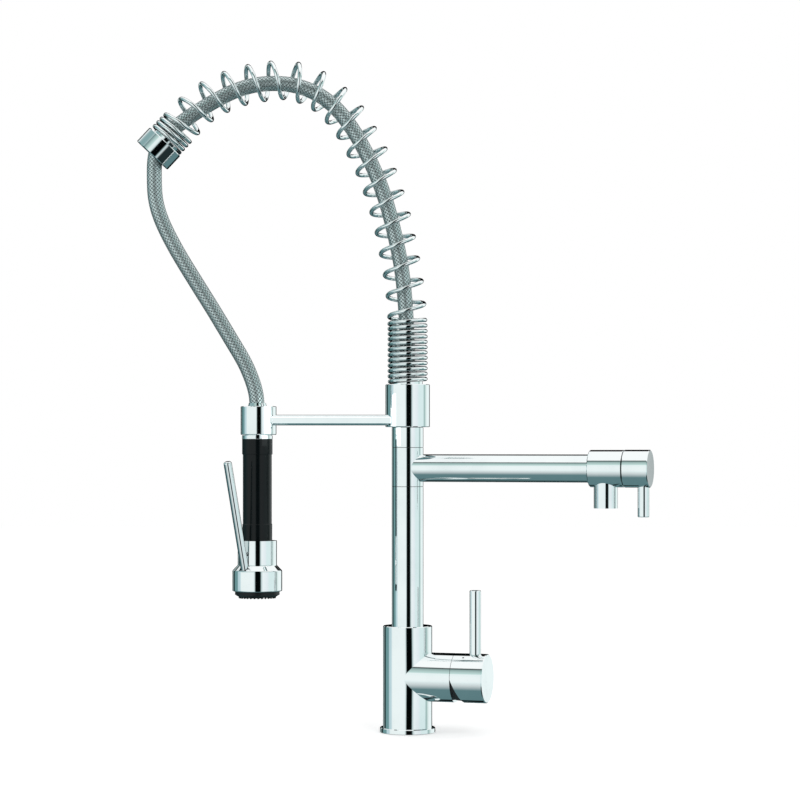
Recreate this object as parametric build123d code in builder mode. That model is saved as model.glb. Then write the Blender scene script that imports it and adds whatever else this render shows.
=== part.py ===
"""Side spray kitchen faucet, in millimetres.

The origin is on the column's axis, in the plane of the sink deck that the faucet stands on. +Z is up, the
arm and the hand spray lie towards -X, and the spout and the mixer handle point towards +X and a little
towards -Y, which is the side that a person stands on.
"""
from math import cos, pi, radians, sin, sqrt, tan
import os

from build123d import *

os.makedirs("parts", exist_ok=True)

# ---------------------------------------------------------------- clearances
SLIDE_FIT = 0.05        # radial, between pieces that turn or slide in one another
PRESS_FIT = 0.02        # radial, between pieces that are pushed or screwed together
LOOSE_GAP = 0.3         # between pieces that pass each other without touching
SEAM_GAP = 0.5          # the dark seam between a fixed head and its turning knob
OVERCUT = 1.0           # that a cut runs on, past the skin that it opens

# ---------------------------------------------------------------- base and mixer body
BODY_RADIUS = 24.6
BODY_TOP = 106.3
BODY_EDGE = 0.6
FLANGE_STEP = 3.1       # of the flange beyond the body
FLANGE_RADIUS = BODY_RADIUS + FLANGE_STEP
FLANGE_HEIGHT = 5.0
FLANGE_LIFT = 0.3       # the gasket's face stands this proud of the flange
FLANGE_CHAMFER = 0.7
GASKET_MARGIN = 1.5     # from the flange's rim
GASKET_OUTER = FLANGE_RADIUS - GASKET_MARGIN
GASKET_WIDTH = 3.8
GASKET_INNER = GASKET_OUTER - GASKET_WIDTH
GASKET_HEIGHT = 2.3
SPIGOT_STEP = 3.7       # of the body's foot inside the flange
SPIGOT_RADIUS = BODY_RADIUS - SPIGOT_STEP
SHANK_RADIUS = 13.5     # threaded socket for a hollow mounting shank
SHANK_DEPTH = 12.0
INLET_RADIUS = 4.5      # tapped hole for an M10 hose tail
INLET_DEPTH = 10.0
INLET_OFFSET = 7.5
WATERWAY_RADIUS = 3.2
MIXED_WATERWAY_RADIUS = 3.6
MIXED_PORT_HEIGHT = 9.0
RISER_RADIUS = 7.0

# ---------------------------------------------------------------- mixer branch, cartridge and handle
# Reaches are measured along the mixer's axis from the column's.
MIXER_AXIS_HEIGHT = 55.5
MIXER_YAW = 17.0        # degrees from +X towards -Y
BRANCH_RADIUS = 24.4
BRANCH_WALL = 4.45
BRANCH_BORE = BRANCH_RADIUS - BRANCH_WALL
BRANCH_REACH = 50.0
CARTRIDGE_SEAL_THICKNESS = 2.0
CARTRIDGE_FLOOR = 4.0
CARTRIDGE_WALL = 2.6
CARTRIDGE_CAVITY = BRANCH_BORE - CARTRIDGE_WALL
CARTRIDGE_LENGTH = 22.0
NUT_LENGTH = 4.0
COVER_SKIRT_LENGTH = 2.0
BRANCH_BORE_DEPTH = CARTRIDGE_SEAL_THICKNESS + CARTRIDGE_LENGTH + NUT_LENGTH + COVER_SKIRT_LENGTH
BRANCH_BORE_FLOOR = BRANCH_REACH - BRANCH_BORE_DEPTH
FIXED_DISC_THICKNESS = 4.0
MOVING_DISC_RADIUS = 9.5
MOVING_DISC_THICKNESS = 8.0
ROTOR_GAP = 0.5
ROTOR_NECK_RADIUS = 13.2
TILT_PIVOT_OVERHANG = 6.0   # of the handle's tilt axis, past the branch's end
TILT_PIVOT_REACH = BRANCH_REACH + TILT_PIVOT_OVERHANG
TILT_RANGE = 20.0       # degrees, from shut to full flow
TILT_PIN_RADIUS = 1.5
EAR_HALF_HEIGHT = 4.0
EAR_THICKNESS = 4.0
EAR_REACH = 3.5         # past the pivot
CAP_LENGTH = 32.7       # from the branch's end
CAP_END_REACH = BRANCH_REACH + CAP_LENGTH
CAP_WALL = 1.4
CAP_END_WALL = 3.5
CAP_SEAM = 0.4
CAP_EDGE = 0.8
CAP_RELIEF_ANGLE = 22.0
CAP_BOSS_RADIUS = 8.0
CAP_BOSS_LENGTH = 13.2
DOME_GAP = 0.4          # between the dome and the cap around it
DOME_RADIUS = BRANCH_RADIUS - CAP_WALL - DOME_GAP
DOME_WALL = 1.5
DOME_LENGTH = 11.0      # past the branch's end
DOME_END_REACH = BRANCH_REACH + DOME_LENGTH
SPINDLE_RADIUS = 4.0
SPINDLE_END_INSET = 8.7     # from the cap's end
SPINDLE_END_REACH = CAP_END_REACH - SPINDLE_END_INSET
SPINDLE_EYE_LENGTH = 4.5    # of the thick bar behind the tilt pivot
SPINDLE_TAIL_RADIUS = 1.6
SPINDLE_BALL_RADIUS = 2.0
SPINDLE_BALL_REACH = 20.0   # from the tilt pivot to the ball's centre
LEVER_INSET = 12.6      # from the cap's end
LEVER_REACH = CAP_END_REACH - LEVER_INSET
LEVER_RADIUS = 5.7
LEVER_RISE = 87.2       # above the mixer's axis
LEVER_SOCKET_DEPTH = 1.2
LEVER_SEAT = BRANCH_RADIUS - LEVER_SOCKET_DEPTH
LEVER_STUD_RADIUS = 3.0
LEVER_EDGE = 0.6
INDEX_DOT_RADIUS = 1.1
INDEX_DOT_DEPTH = 0.8
INDEX_DOT_OVERHANG = 11.0   # past the branch's end
INDEX_DOT_REACH = BRANCH_REACH + INDEX_DOT_OVERHANG
INDEX_DOT_ANGLE = 30.0  # degrees from the top, towards -Y

# ---------------------------------------------------------------- column
# Each height is stacked on the one below it.
COLUMN_RADIUS = 15.8
COLUMN_WALL = 2.0
COLUMN_SOCKET_DEPTH = 14.0
LOWER_COLUMN_LENGTH = 139.0     # from the body's top to the lower seam
LOWER_SEAM = BODY_TOP + LOWER_COLUMN_LENGTH
HUB_HEIGHT = 39.0       # from seam to seam
UPPER_SEAM = LOWER_SEAM + HUB_HEIGHT
UPPER_COLUMN_LENGTH = 20.5
COLLAR_BOTTOM = UPPER_SEAM + UPPER_COLUMN_LENGTH
COLLAR_HEIGHT = 42.5
COLLAR_TOP = COLLAR_BOTTOM + COLLAR_HEIGHT
WASHER_THICKNESS = 0.5
HUB_WALL = 4.8          # between the column's skin and the core
CORE_RADIUS = COLUMN_RADIUS - HUB_WALL
CORE_WALL = 3.0
CORE_BORE = CORE_RADIUS - CORE_WALL
CORE_PLUG_LENGTH = 20.0
CORE_HEAD_LENGTH = 17.7     # above the upper seam
CORE_TOP = UPPER_SEAM + CORE_HEAD_LENGTH
CORE_PORT_RADIUS = 3.0
CORE_PORT_COUNT = 4
O_RING_SECTION = 1.0    # radius of the ring's section
LOWER_O_RING_RISE = 5.7     # above the lower seam
UPPER_O_RING_DROP = 5.8     # below the upper seam
CORE_O_RING_HEIGHTS = (LOWER_SEAM + LOWER_O_RING_RISE, UPPER_SEAM - UPPER_O_RING_DROP)
COLLAR_WASHER_THICKNESS = 0.6
COLLAR_SHOULDER = 2.8       # from the column's skin in to the spigot
COLLAR_SPIGOT_RADIUS = COLUMN_RADIUS - COLLAR_SHOULDER
COLLAR_SPIGOT_WALL = 5.0
COLLAR_SPIGOT_BORE = COLLAR_SPIGOT_RADIUS - COLLAR_SPIGOT_WALL
COLLAR_SPIGOT_LENGTH = 21.2     # inside the collar
SPIGOT_TOP = COLLAR_BOTTOM + COLLAR_SPIGOT_LENGTH
BUSH_WALL = 1.6
BUSH_RADIUS = COLLAR_SPIGOT_RADIUS + BUSH_WALL
BUSH_LENGTH = 13.4
RETAINER_GAP = 0.8      # above the bush
RETAINER_HEIGHT = COLLAR_BOTTOM + BUSH_LENGTH + RETAINER_GAP
RETAINER_THICKNESS = 1.2
RETAINER_DEPTH = 0.8
RETAINER_RIM = 1.4      # of the ring, proud of the spigot
RETAINER_OUTER = COLLAR_SPIGOT_RADIUS + RETAINER_RIM

# ---------------------------------------------------------------- spout
# Reaches are measured along the spout's axis from the column's, and drops from the spout's axis down.
SPOUT_AXIS_RISE = 18.5  # above the lower seam
SPOUT_AXIS_HEIGHT = LOWER_SEAM + SPOUT_AXIS_RISE
SPOUT_YAW = 17.5        # degrees from +X towards -Y
HUB_CHAMBER_WALL = 2.6
HUB_CHAMBER_RADIUS = COLUMN_RADIUS - HUB_CHAMBER_WALL
HUB_CHAMBER_HALF_HEIGHT = 8.0
SPOUT_RADIUS = 13.75
SPOUT_WALL = 1.7
SPOUT_INSERTION = 6.5
HUB_SPIGOT_LENGTH = 14.0
HUB_SPIGOT_WALL = 3.05
HUB_SPIGOT_BORE = SPOUT_RADIUS - SPOUT_WALL - HUB_SPIGOT_WALL
HEAD_START = 186.9
HEAD_LENGTH = 33.7
HEAD_SEAM = HEAD_START + HEAD_LENGTH
HEAD_RADIUS = 18.2
HEAD_EDGE = 0.7
HEAD_SEAT_WALL = 3.5
HEAD_SEAT_RADIUS = 5.0
HEAD_CAVITY_RADIUS = 9.5
KNOB_LENGTH = 25.9      # from the head's seam
KNOB_END = HEAD_SEAM + KNOB_LENGTH
KNOB_STEP = 0.2         # of the knob beyond the head
KNOB_RADIUS = HEAD_RADIUS + KNOB_STEP
KNOB_RIM = 4.4          # outside the knob's recess
KNOB_RECESS_RADIUS = KNOB_RADIUS - KNOB_RIM
KNOB_RECESS_DEPTH = 10.0
KNOB_BOSS_RADIUS = 7.5
KNOB_PIN_INSET = 6.8    # from the knob's end
KNOB_PIN_REACH = KNOB_END - KNOB_PIN_INSET
KNOB_PIN_RADIUS = 5.7
KNOB_PIN_DROP = 47.0
KNOB_PIN_SOCKET_DEPTH = 1.1
KNOB_PIN_SEAT = KNOB_RADIUS - KNOB_PIN_SOCKET_DEPTH
KNOB_STUD_RADIUS = 2.5
SHUTOFF_BODY_GAP = 1.9      # of the water's way round the shut-off cartridge
SHUTOFF_BODY_RADIUS = HEAD_CAVITY_RADIUS - SHUTOFF_BODY_GAP
SHUTOFF_NECK_LENGTH = 13.1
SHUTOFF_NECK_START = HEAD_SEAM - SHUTOFF_NECK_LENGTH
SHUTOFF_WALL = 1.6
SHUTOFF_BORE = SHUTOFF_BODY_RADIUS - SHUTOFF_WALL
SHUTOFF_DISC_THICKNESS = 2.0
SHUTOFF_WINDOW_WIDTH = 5.0
SHUTOFF_SPINDLE_RADIUS = 4.0
SHUTOFF_SPINDLE_INSET = 6.0     # from the knob's end
SHUTOFF_SPINDLE_END = KNOB_END - SHUTOFF_SPINDLE_INSET
NOZZLE_SETBACK = 15.4       # of the nozzle's axis, from the head's start
NOZZLE_REACH = HEAD_START + NOZZLE_SETBACK
NOZZLE_RADIUS = 11.65
NOZZLE_DROP = 38.7
NOZZLE_SPIGOT_RADIUS = 7.2
NOZZLE_SPIGOT_STEP = 1.1    # of the spigot's top, outside the head's cavity
NOZZLE_SPIGOT_TOP = HEAD_CAVITY_RADIUS + NOZZLE_SPIGOT_STEP
NOZZLE_SPIGOT_WALL = 1.7
NOZZLE_BORE = NOZZLE_SPIGOT_RADIUS - NOZZLE_SPIGOT_WALL
NOZZLE_WALL = 1.75
AERATOR_RADIUS = NOZZLE_RADIUS - NOZZLE_WALL
AERATOR_LENGTH = 10.0
AERATOR_RECESS = 1.2
AERATOR_FACE = 1.5
AERATOR_HOLE_RADIUS = 0.6
AERATOR_HOLE_PITCH = 2.2
AERATOR_RINGS = 3
AERATOR_WASHER_THICKNESS = 2.0

# ---------------------------------------------------------------- hose and spring sections
HOSE_RADIUS = 7.5
HOSE_BORE = 4.5
WIRE_RADIUS = 2.1
COIL_RADIUS = 17.9      # to the wire's centre
BOSS_GAP = 0.8          # inside the coil, around the bosses that centre it
SPRING_BOSS_RADIUS = COIL_RADIUS - WIRE_RADIUS - BOSS_GAP

# ---------------------------------------------------------------- swivel collar and hose connector
COLLAR_RADIUS = 22.2
COLLAR_WALL = 4.2
COLLAR_CAVITY_RADIUS = COLLAR_RADIUS - COLLAR_WALL
COLLAR_EDGE = 0.5
LID_THICKNESS = 5.0
LID_BOSS_HEIGHT = 3.0
CONNECTOR_FLANGE_STEP = 4.0     # of the flange inside the collar's cavity
CONNECTOR_FLANGE_RADIUS = COLLAR_CAVITY_RADIUS - CONNECTOR_FLANGE_STEP
CONNECTOR_FLANGE_HEIGHT = 5.0
CONNECTOR_INSERTION = 17.0      # in the spigot
CONNECTOR_BOTTOM = SPIGOT_TOP - CONNECTOR_INSERTION
CONNECTOR_BORE = 3.0
CONNECTOR_O_RING_DROP = 11.0    # below the spigot's top
CONNECTOR_O_RING_HEIGHT = SPIGOT_TOP - CONNECTOR_O_RING_DROP
BARB_GAP = 0.1          # inside the hose's bore
BARB_RADIUS = HOSE_BORE - BARB_GAP
BARB_LENGTH = 16.0
LOWER_FERRULE_WALL = 1.3
LOWER_FERRULE_RADIUS = HOSE_RADIUS + LOWER_FERRULE_WALL
LOWER_FERRULE_LENGTH = 14.0

# ---------------------------------------------------------------- arm and holder ring
ARM_RISE = 6.8          # of the rod's axis, above the collar's foot
ARM_HEIGHT = COLLAR_BOTTOM + ARM_RISE
ARM_OFFSET = -9.0       # the rod runs in front of both axes
ARM_RADIUS = 5.3
SPRAY_X = -150.3
ARM_SETBACK = 15.3      # of the rod's end, from the spray's axis
ARM_EDGE = 0.8
ARM_STUD_RADIUS = 3.0
ARM_STUD_GAP = 0.9      # of the stud's end, from the bush
ARM_STUD_REACH = BUSH_RADIUS + ARM_STUD_GAP
ARM_NUB_RADIUS = 4.3
ARM_NUB_LENGTH = 2.3
RING_DEPTH = 14.6       # below the rod's axis
RING_RISE = 13.9        # above the rod's axis
RING_BOTTOM = ARM_HEIGHT - RING_DEPTH
RING_TOP = ARM_HEIGHT + RING_RISE
RING_ECCENTRICITY = 1.2     # the ring is thicker on the arm's side
RING_EDGE = 0.6
RING_WALL = 4.3
LINER_WALL = 1.65
LINER_RECESS = 0.4

# ---------------------------------------------------------------- hand spray
FERRULE_HOSE_GAP = 0.4
FERRULE_WALL = 1.5
FERRULE_RADIUS = HOSE_RADIUS + FERRULE_HOSE_GAP + FERRULE_WALL
FERRULE_DEPTH = 18.5    # below the ring's top
FERRULE_BOTTOM = RING_TOP - FERRULE_DEPTH
FERRULE_FLOOR = 2.6
FERRULE_SHOULDER = RING_TOP
FERRULE_CONE_HEIGHT = 3.3
FERRULE_TOP = FERRULE_SHOULDER + FERRULE_CONE_HEIGHT
FERRULE_CONE_STEP = 1.0
FERRULE_TOP_RADIUS = FERRULE_RADIUS - FERRULE_CONE_STEP
NECK_SOCKET_WALL = 2.55
NECK_RADIUS = FERRULE_RADIUS + NECK_SOCKET_WALL
NECK_TOP_DROP = 3.5     # below the ring's top
NECK_TOP = RING_TOP - NECK_TOP_DROP
LINER_RADIUS = NECK_RADIUS + LINER_WALL
RING_RADIUS = LINER_RADIUS + RING_WALL
GRIP_TUBE_STEP = 1.45   # of the grip tube inside the neck
GRIP_TUBE_RADIUS = NECK_RADIUS - GRIP_TUBE_STEP
GRIP_TUBE_WALL = 3.0
GRIP_TUBE_BORE = GRIP_TUBE_RADIUS - GRIP_TUBE_WALL
GRIP_WALL = 3.95
GRIP_RADIUS = GRIP_TUBE_RADIUS + GRIP_WALL
GRIP_BAND_STEP = 0.75
GRIP_BAND_RADIUS = GRIP_RADIUS + GRIP_BAND_STEP
GRIP_LOWER_STEP = 0.45
GRIP_LOWER_RADIUS = GRIP_RADIUS + GRIP_LOWER_STEP
GRIP_EDGE = 0.35
CHROME_RING_STEP = 0.1      # of the chrome ring beyond the grip's band
CHROME_RING_RADIUS = GRIP_BAND_RADIUS + CHROME_RING_STEP
DOCKING_GAP = 0.4       # under the holder ring
CHROME_RING_TOP = RING_BOTTOM - DOCKING_GAP
CHROME_RING_HEIGHT = 4.2
CHROME_RING_BOTTOM = CHROME_RING_TOP - CHROME_RING_HEIGHT
CHROME_RING_EDGE = 0.5
CHECK_VALVE_STEP = 1.4      # of the check valve inside the ferrule
CHECK_VALVE_RADIUS = FERRULE_RADIUS - CHECK_VALVE_STEP
CHECK_VALVE_BORE = 4.0
CHECK_VALVE_SPOKES = 3
CHECK_VALVE_SPOKE_RADIUS = 0.5
GRIP_TUBE_RISE = 3.4    # above the chrome ring
GRIP_TUBE_TOP = CHROME_RING_TOP + GRIP_TUBE_RISE
GRIP_LENGTH = 101.1
SPRAY_BODY_TOP = CHROME_RING_BOTTOM - GRIP_LENGTH
GRIP_TUBE_INSERTION = 6.8
GRIP_TUBE_BOTTOM = SPRAY_BODY_TOP - GRIP_TUBE_INSERTION
GRIP_UPPER_BAND_HEIGHT = 15.0
GRIP_UPPER_BAND = CHROME_RING_BOTTOM - GRIP_UPPER_BAND_HEIGHT
GRIP_LOWER_BAND_HEIGHT = 16.7
GRIP_LOWER_BAND = SPRAY_BODY_TOP + GRIP_LOWER_BAND_HEIGHT
SPRAY_BODY_RADIUS = 19.6
SPRAY_BODY_HEIGHT = 24.5    # above the shoulder
SHOULDER_TOP = SPRAY_BODY_TOP - SPRAY_BODY_HEIGHT
SHOULDER_HEIGHT = 5.5
SHOULDER_BOTTOM = SHOULDER_TOP - SHOULDER_HEIGHT
SHOULDER_ROUNDING = 2.2
SHOULDER_STEP = 5.3     # of the head beyond the body
SPRAY_HEAD_RADIUS = SPRAY_BODY_RADIUS + SHOULDER_STEP
SPRAY_HEAD_ROUNDING = 1.0
SPRAY_HEAD_HEIGHT = 20.5    # below the shoulder
HEAD_BOTTOM = SHOULDER_BOTTOM - SPRAY_HEAD_HEIGHT
HEAD_WALL = 3.9
HEAD_CHAMBER_RADIUS = SPRAY_HEAD_RADIUS - HEAD_WALL
PLATE_LEDGE_WIDTH = 1.5
PLATE_LEDGE_RADIUS = HEAD_CHAMBER_RADIUS - PLATE_LEDGE_WIDTH
PLATE_LEDGE_DEPTH = 6.7     # inside the head
PLATE_LEDGE_HEIGHT = HEAD_BOTTOM + PLATE_LEDGE_DEPTH
HEAD_CHAMBER_HEIGHT = 2.5   # above the ledge
HEAD_CHAMBER_TOP = PLATE_LEDGE_HEIGHT + HEAD_CHAMBER_HEIGHT
PLENUM_LEDGE = 0.3      # under the grip tube
PLENUM_RADIUS = GRIP_TUBE_RADIUS - PLENUM_LEDGE
PLENUM_DEPTH = 2.5
VALVE_DEPTH = 13.0      # below the body's top
VALVE_HEIGHT = SPRAY_BODY_TOP - VALVE_DEPTH
VALVE_CHAMBER_RADIUS = 5.2
VALVE_SEAT_REACH = 8.0
VALVE_THROAT_RADIUS = 3.6
VALVE_STEM_RADIUS = 2.0
VALVE_HEAD_RADIUS = 4.7
VALVE_HEAD_THICKNESS = 2.0
VALVE_SEAL_THICKNESS = 1.0
PLUG_RECESS = 0.8       # of the screw plug behind the valve's chamber, in the body's skin
PLUG_FACE = SPRAY_BODY_RADIUS - PLUG_RECESS
PLUG_FACE_THICKNESS = 1.2
PLUG_SPRING_SEAT = PLUG_FACE - PLUG_FACE_THICKNESS
PLUG_SKIRT = 1.0
PLUG_START = PLUG_SPRING_SEAT - PLUG_SKIRT
PLUG_KEY_RADIUS = 2.3
PLUG_KEY_DEPTH = 0.8
RETURN_SPRING_RADIUS = 3.2
RETURN_SPRING_WIRE = 0.35   # radius of the wire
RETURN_SPRING_TURNS = 3
OUTLET_BORE = 3.2
FLOW_PLATE_THICKNESS = 1.5
FLOW_HOLE_COUNT = 12
FLOW_HOLE_RADIUS = 1.6
FLOW_HOLE_CIRCLE = 13.0
FACE_RIM = 2.6          # of the head, outside the face
FACE_FLANGE_RADIUS = SPRAY_HEAD_RADIUS - FACE_RIM
FACE_FLANGE_HEIGHT = 3.5
FACE_FLANGE_BOTTOM = HEAD_BOTTOM - FACE_FLANGE_HEIGHT
FACE_BEVEL_WIDTH = 2.7
FACE_BEVEL_RADIUS = FACE_FLANGE_RADIUS - FACE_BEVEL_WIDTH
FACE_BEVEL_HEIGHT = 1.6
FACE_BOTTOM = FACE_FLANGE_BOTTOM - FACE_BEVEL_HEIGHT
FACE_SKIRT_WALL = 2.2
FACE_CAVITY_RADIUS = HEAD_CHAMBER_RADIUS - FACE_SKIRT_WALL
FACE_THICKNESS = 1.5
FACE_NOZZLE_LENGTH = 2.0
FACE_NOZZLE_BASE = 1.15
FACE_NOZZLE_TIP = 0.75
FACE_NOZZLE_BORE = 0.45
FACE_NOZZLE_MARGIN = 1.8    # from the bevel to the outer ring of nozzles
FACE_NOZZLE_COUNTS = (1, 8, 15, 22, 30)     # from the middle outwards

# ---------------------------------------------------------------- spray lever
LEVER_AZIMUTH = 235.0   # degrees about the spray's axis, from +X towards +Y
SPRAY_LEVER_INSET = 6.8     # of the pivot, from the head's skin
SPRAY_LEVER_REACH = SPRAY_HEAD_RADIUS - SPRAY_LEVER_INSET
SPRAY_LEVER_DROP = 4.8      # of the pivot, below the shoulder
SPRAY_LEVER_HEIGHT = SHOULDER_BOTTOM - SPRAY_LEVER_DROP
SPRAY_LEVER_TILT = 14.4     # degrees outwards, at rest
SPRAY_LEVER_RANGE = 8.0     # degrees, squeezed towards the grip
SPRAY_LEVER_RADIUS = 4.1
SPRAY_LEVER_LENGTH = 117.7  # from the pivot to the tip
SPRAY_LEVER_ROUNDING = 2.2
LEVER_MARGIN = 0.35
LEVER_PIN_RADIUS = 1.5
LEVER_PIN_HALF_LENGTH = 8.0
LEVER_FOOT_GAP = 0.5    # under the lever's foot
LEVER_POCKET_FLOOR = SPRAY_LEVER_HEIGHT - SPRAY_LEVER_RADIUS - LEVER_FOOT_GAP

# ---------------------------------------------------------------- hoses
# Corners of the hose's route in the arch, as (x, rise above the collar), from the lid's boss to just below
# the end cap.
ARCH_HOSE_CORNERS = [
    (0.0, LID_BOSS_HEIGHT), (0.0, 86.7), (-16.5, 169.7), (-34.5, 219.7), (-60.5, 265.7), (-87.0, 290.7),
    (-121.0, 302.2), (-163.0, 299.2), (-205.0, 277.2), (-240.5, 251.4), (-248.7, 240.0), (-253.3, 226.7),
    (-253.3, 212.7),
]
ARCH_HOSE_ROUTE = [(x, COLLAR_TOP + rise) for x, rise in ARCH_HOSE_CORNERS]
# Corners of the hanging hose's route, as (x, rise above the collar), and then as (x, rise above the
# ferrule) where it follows the spray, from the end cap down into the spray's ferrule.
UPPER_HANGING_CORNERS = [
    (-253.3, 212.7), (-253.3, 197.7), (-252.0, 183.8), (-248.5, 170.3), (-242.0, 154.6), (-229.3, 130.8),
    (-210.7, 100.7), (-193.7, 73.7), (-177.0, 45.7),
]
LOWER_HANGING_CORNERS = [(-14.0, 43.2), (-7.9, 30.2), (-2.5, 15.2), (0.0, 1.2)]
HANGING_HOSE_ROUTE = [
    *((x, COLLAR_TOP + rise) for x, rise in UPPER_HANGING_CORNERS),
    *((SPRAY_X + x, FERRULE_TOP + rise) for x, rise in LOWER_HANGING_CORNERS),
    (SPRAY_X, FERRULE_BOTTOM + FERRULE_FLOOR),
]
ARC_SHARE = 0.45        # of the shorter run beside a corner, taken by that corner's arc

# ---------------------------------------------------------------- spring and its end cap
# Corners of the spring's route, as (x, rise above the collar).
SPRING_CORNERS = [
    (0.0, 0.0), (0.0, 86.5), (-16.2, 169.7), (-34.1, 221.7), (-59.8, 268.0), (-86.8, 294.2),
    (-119.3, 306.0), (-168.4, 299.1), (-206.7, 281.2), (-242.6, 242.75),
]
SPRING_ROUTE = [(x, COLLAR_TOP + rise) for x, rise in SPRING_CORNERS]
CLOSE_TURNS = 12.0      # the tight turns on the collar
CLOSE_PITCH = 5.3
OPEN_TURNS = 18.5       # the wide turns over the arch
END_TURNS = 3.5         # the tight turns on the end cap
END_PITCH = 5.0
EASING_TURNS = 0.5      # over which one pitch turns into the next
SEAT_LIFT = 0.22        # of the end turns, whose straight ends point into the seat
COIL_START_ANGLE = 144.0    # degrees about the route, from +X towards +Y
END_CAP_STEP = 0.7      # of the end cap beyond the coil
END_CAP_RADIUS = COIL_RADIUS + WIRE_RADIUS + END_CAP_STEP
END_CAP_LENGTH = 18.8
END_CAP_EDGE = 0.7
END_CAP_BOSS_HEIGHT = 3.0
END_CAP_HOLE_MARGIN = 0.8

# ---------------------------------------------------------------- planes
# A turning plane holds an axis as its X, so an outline on it is a list of (along the axis, radius) points.
MIXER_DIRECTION = Vector(cos(radians(MIXER_YAW)), -sin(radians(MIXER_YAW)), 0)
MIXER_ACROSS = Vector(sin(radians(MIXER_YAW)), cos(radians(MIXER_YAW)), 0)
SPOUT_DIRECTION = Vector(cos(radians(SPOUT_YAW)), -sin(radians(SPOUT_YAW)), 0)
SPOUT_ACROSS = Vector(sin(radians(SPOUT_YAW)), cos(radians(SPOUT_YAW)), 0)
LEVER_OUTWARD = Vector(cos(radians(LEVER_AZIMUTH)), sin(radians(LEVER_AZIMUTH)), 0)
LEVER_ACROSS = LEVER_OUTWARD.cross(Vector(0, 0, 1))
UP = Vector(0, 0, 1)

column_plane = Plane(origin=(0, 0, 0), x_dir=UP, z_dir=(0, 1, 0))
spray_plane = Plane(origin=(SPRAY_X, 0, 0), x_dir=UP, z_dir=(0, 1, 0))
ring_plane = Plane(origin=(SPRAY_X + RING_ECCENTRICITY, 0, 0), x_dir=UP, z_dir=(0, 1, 0))
mixer_plane = Plane(origin=(0, 0, MIXER_AXIS_HEIGHT), x_dir=MIXER_DIRECTION, z_dir=-MIXER_ACROSS)
spout_plane = Plane(origin=(0, 0, SPOUT_AXIS_HEIGHT), x_dir=SPOUT_DIRECTION, z_dir=-SPOUT_ACROSS)
valve_plane = Plane(origin=(SPRAY_X, 0, VALVE_HEIGHT), x_dir=LEVER_OUTWARD, z_dir=LEVER_ACROSS)


def turn(plane, outline, mode=Mode.ADD):
    """Revolve an outline of (along the axis, radius) points about the X axis of a turning plane."""
    with BuildSketch(plane) as profile:
        with BuildLine():
            Polyline(*outline, close=True)
        make_face()
    revolve(profiles=profile.sketch, axis=Axis(plane.origin, plane.x_dir), mode=mode)


def rod(plane, start, end, radius, mode=Mode.ADD):
    """Add or cut a round rod along the X axis of a turning plane."""
    turn(plane, [(start, 0), (end, 0), (end, radius), (start, radius)], mode)


def sleeve(plane, start, end, outer, inner, mode=Mode.ADD):
    """Add or cut a tube along the X axis of a turning plane."""
    turn(plane, [(start, inner), (end, inner), (end, outer), (start, outer)], mode)


def pin_plane(origin, direction):
    """Return a turning plane whose X axis starts at a point and runs in a direction."""
    side = Vector(*direction).cross(UP)
    if side.length < 0.5:
        side = Vector(0, 1, 0)
    return Plane(origin=origin, x_dir=direction, z_dir=side)


def on_axis(plane, along, aside=0.0, above=0.0):
    """Return a point along a turning plane's axis, moved aside and above it."""
    return plane.origin + plane.x_dir * along - plane.z_dir * aside + plane.y_dir * above


def save(builder, name):
    """Name a finished piece and write it to its own file."""
    builder.part.label = name
    export_step(builder.part, f"parts/{name}.step")


# ================================================================ base
with BuildPart() as deck_flange:
    turn(column_plane, [
        (FLANGE_LIFT, SPIGOT_RADIUS + PRESS_FIT), (FLANGE_LIFT, GASKET_INNER - PRESS_FIT),
        (GASKET_HEIGHT, GASKET_INNER - PRESS_FIT), (GASKET_HEIGHT, GASKET_OUTER + PRESS_FIT),
        (FLANGE_LIFT, GASKET_OUTER + PRESS_FIT), (FLANGE_LIFT, FLANGE_RADIUS),
        (FLANGE_HEIGHT - FLANGE_CHAMFER, FLANGE_RADIUS), (FLANGE_HEIGHT, FLANGE_RADIUS - FLANGE_CHAMFER),
        (FLANGE_HEIGHT, SPIGOT_RADIUS + PRESS_FIT),
    ])
save(deck_flange, "deck_flange")

with BuildPart() as base_gasket:
    sleeve(column_plane, 0, GASKET_HEIGHT, GASKET_OUTER, GASKET_INNER)
save(base_gasket, "base_gasket")

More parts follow.
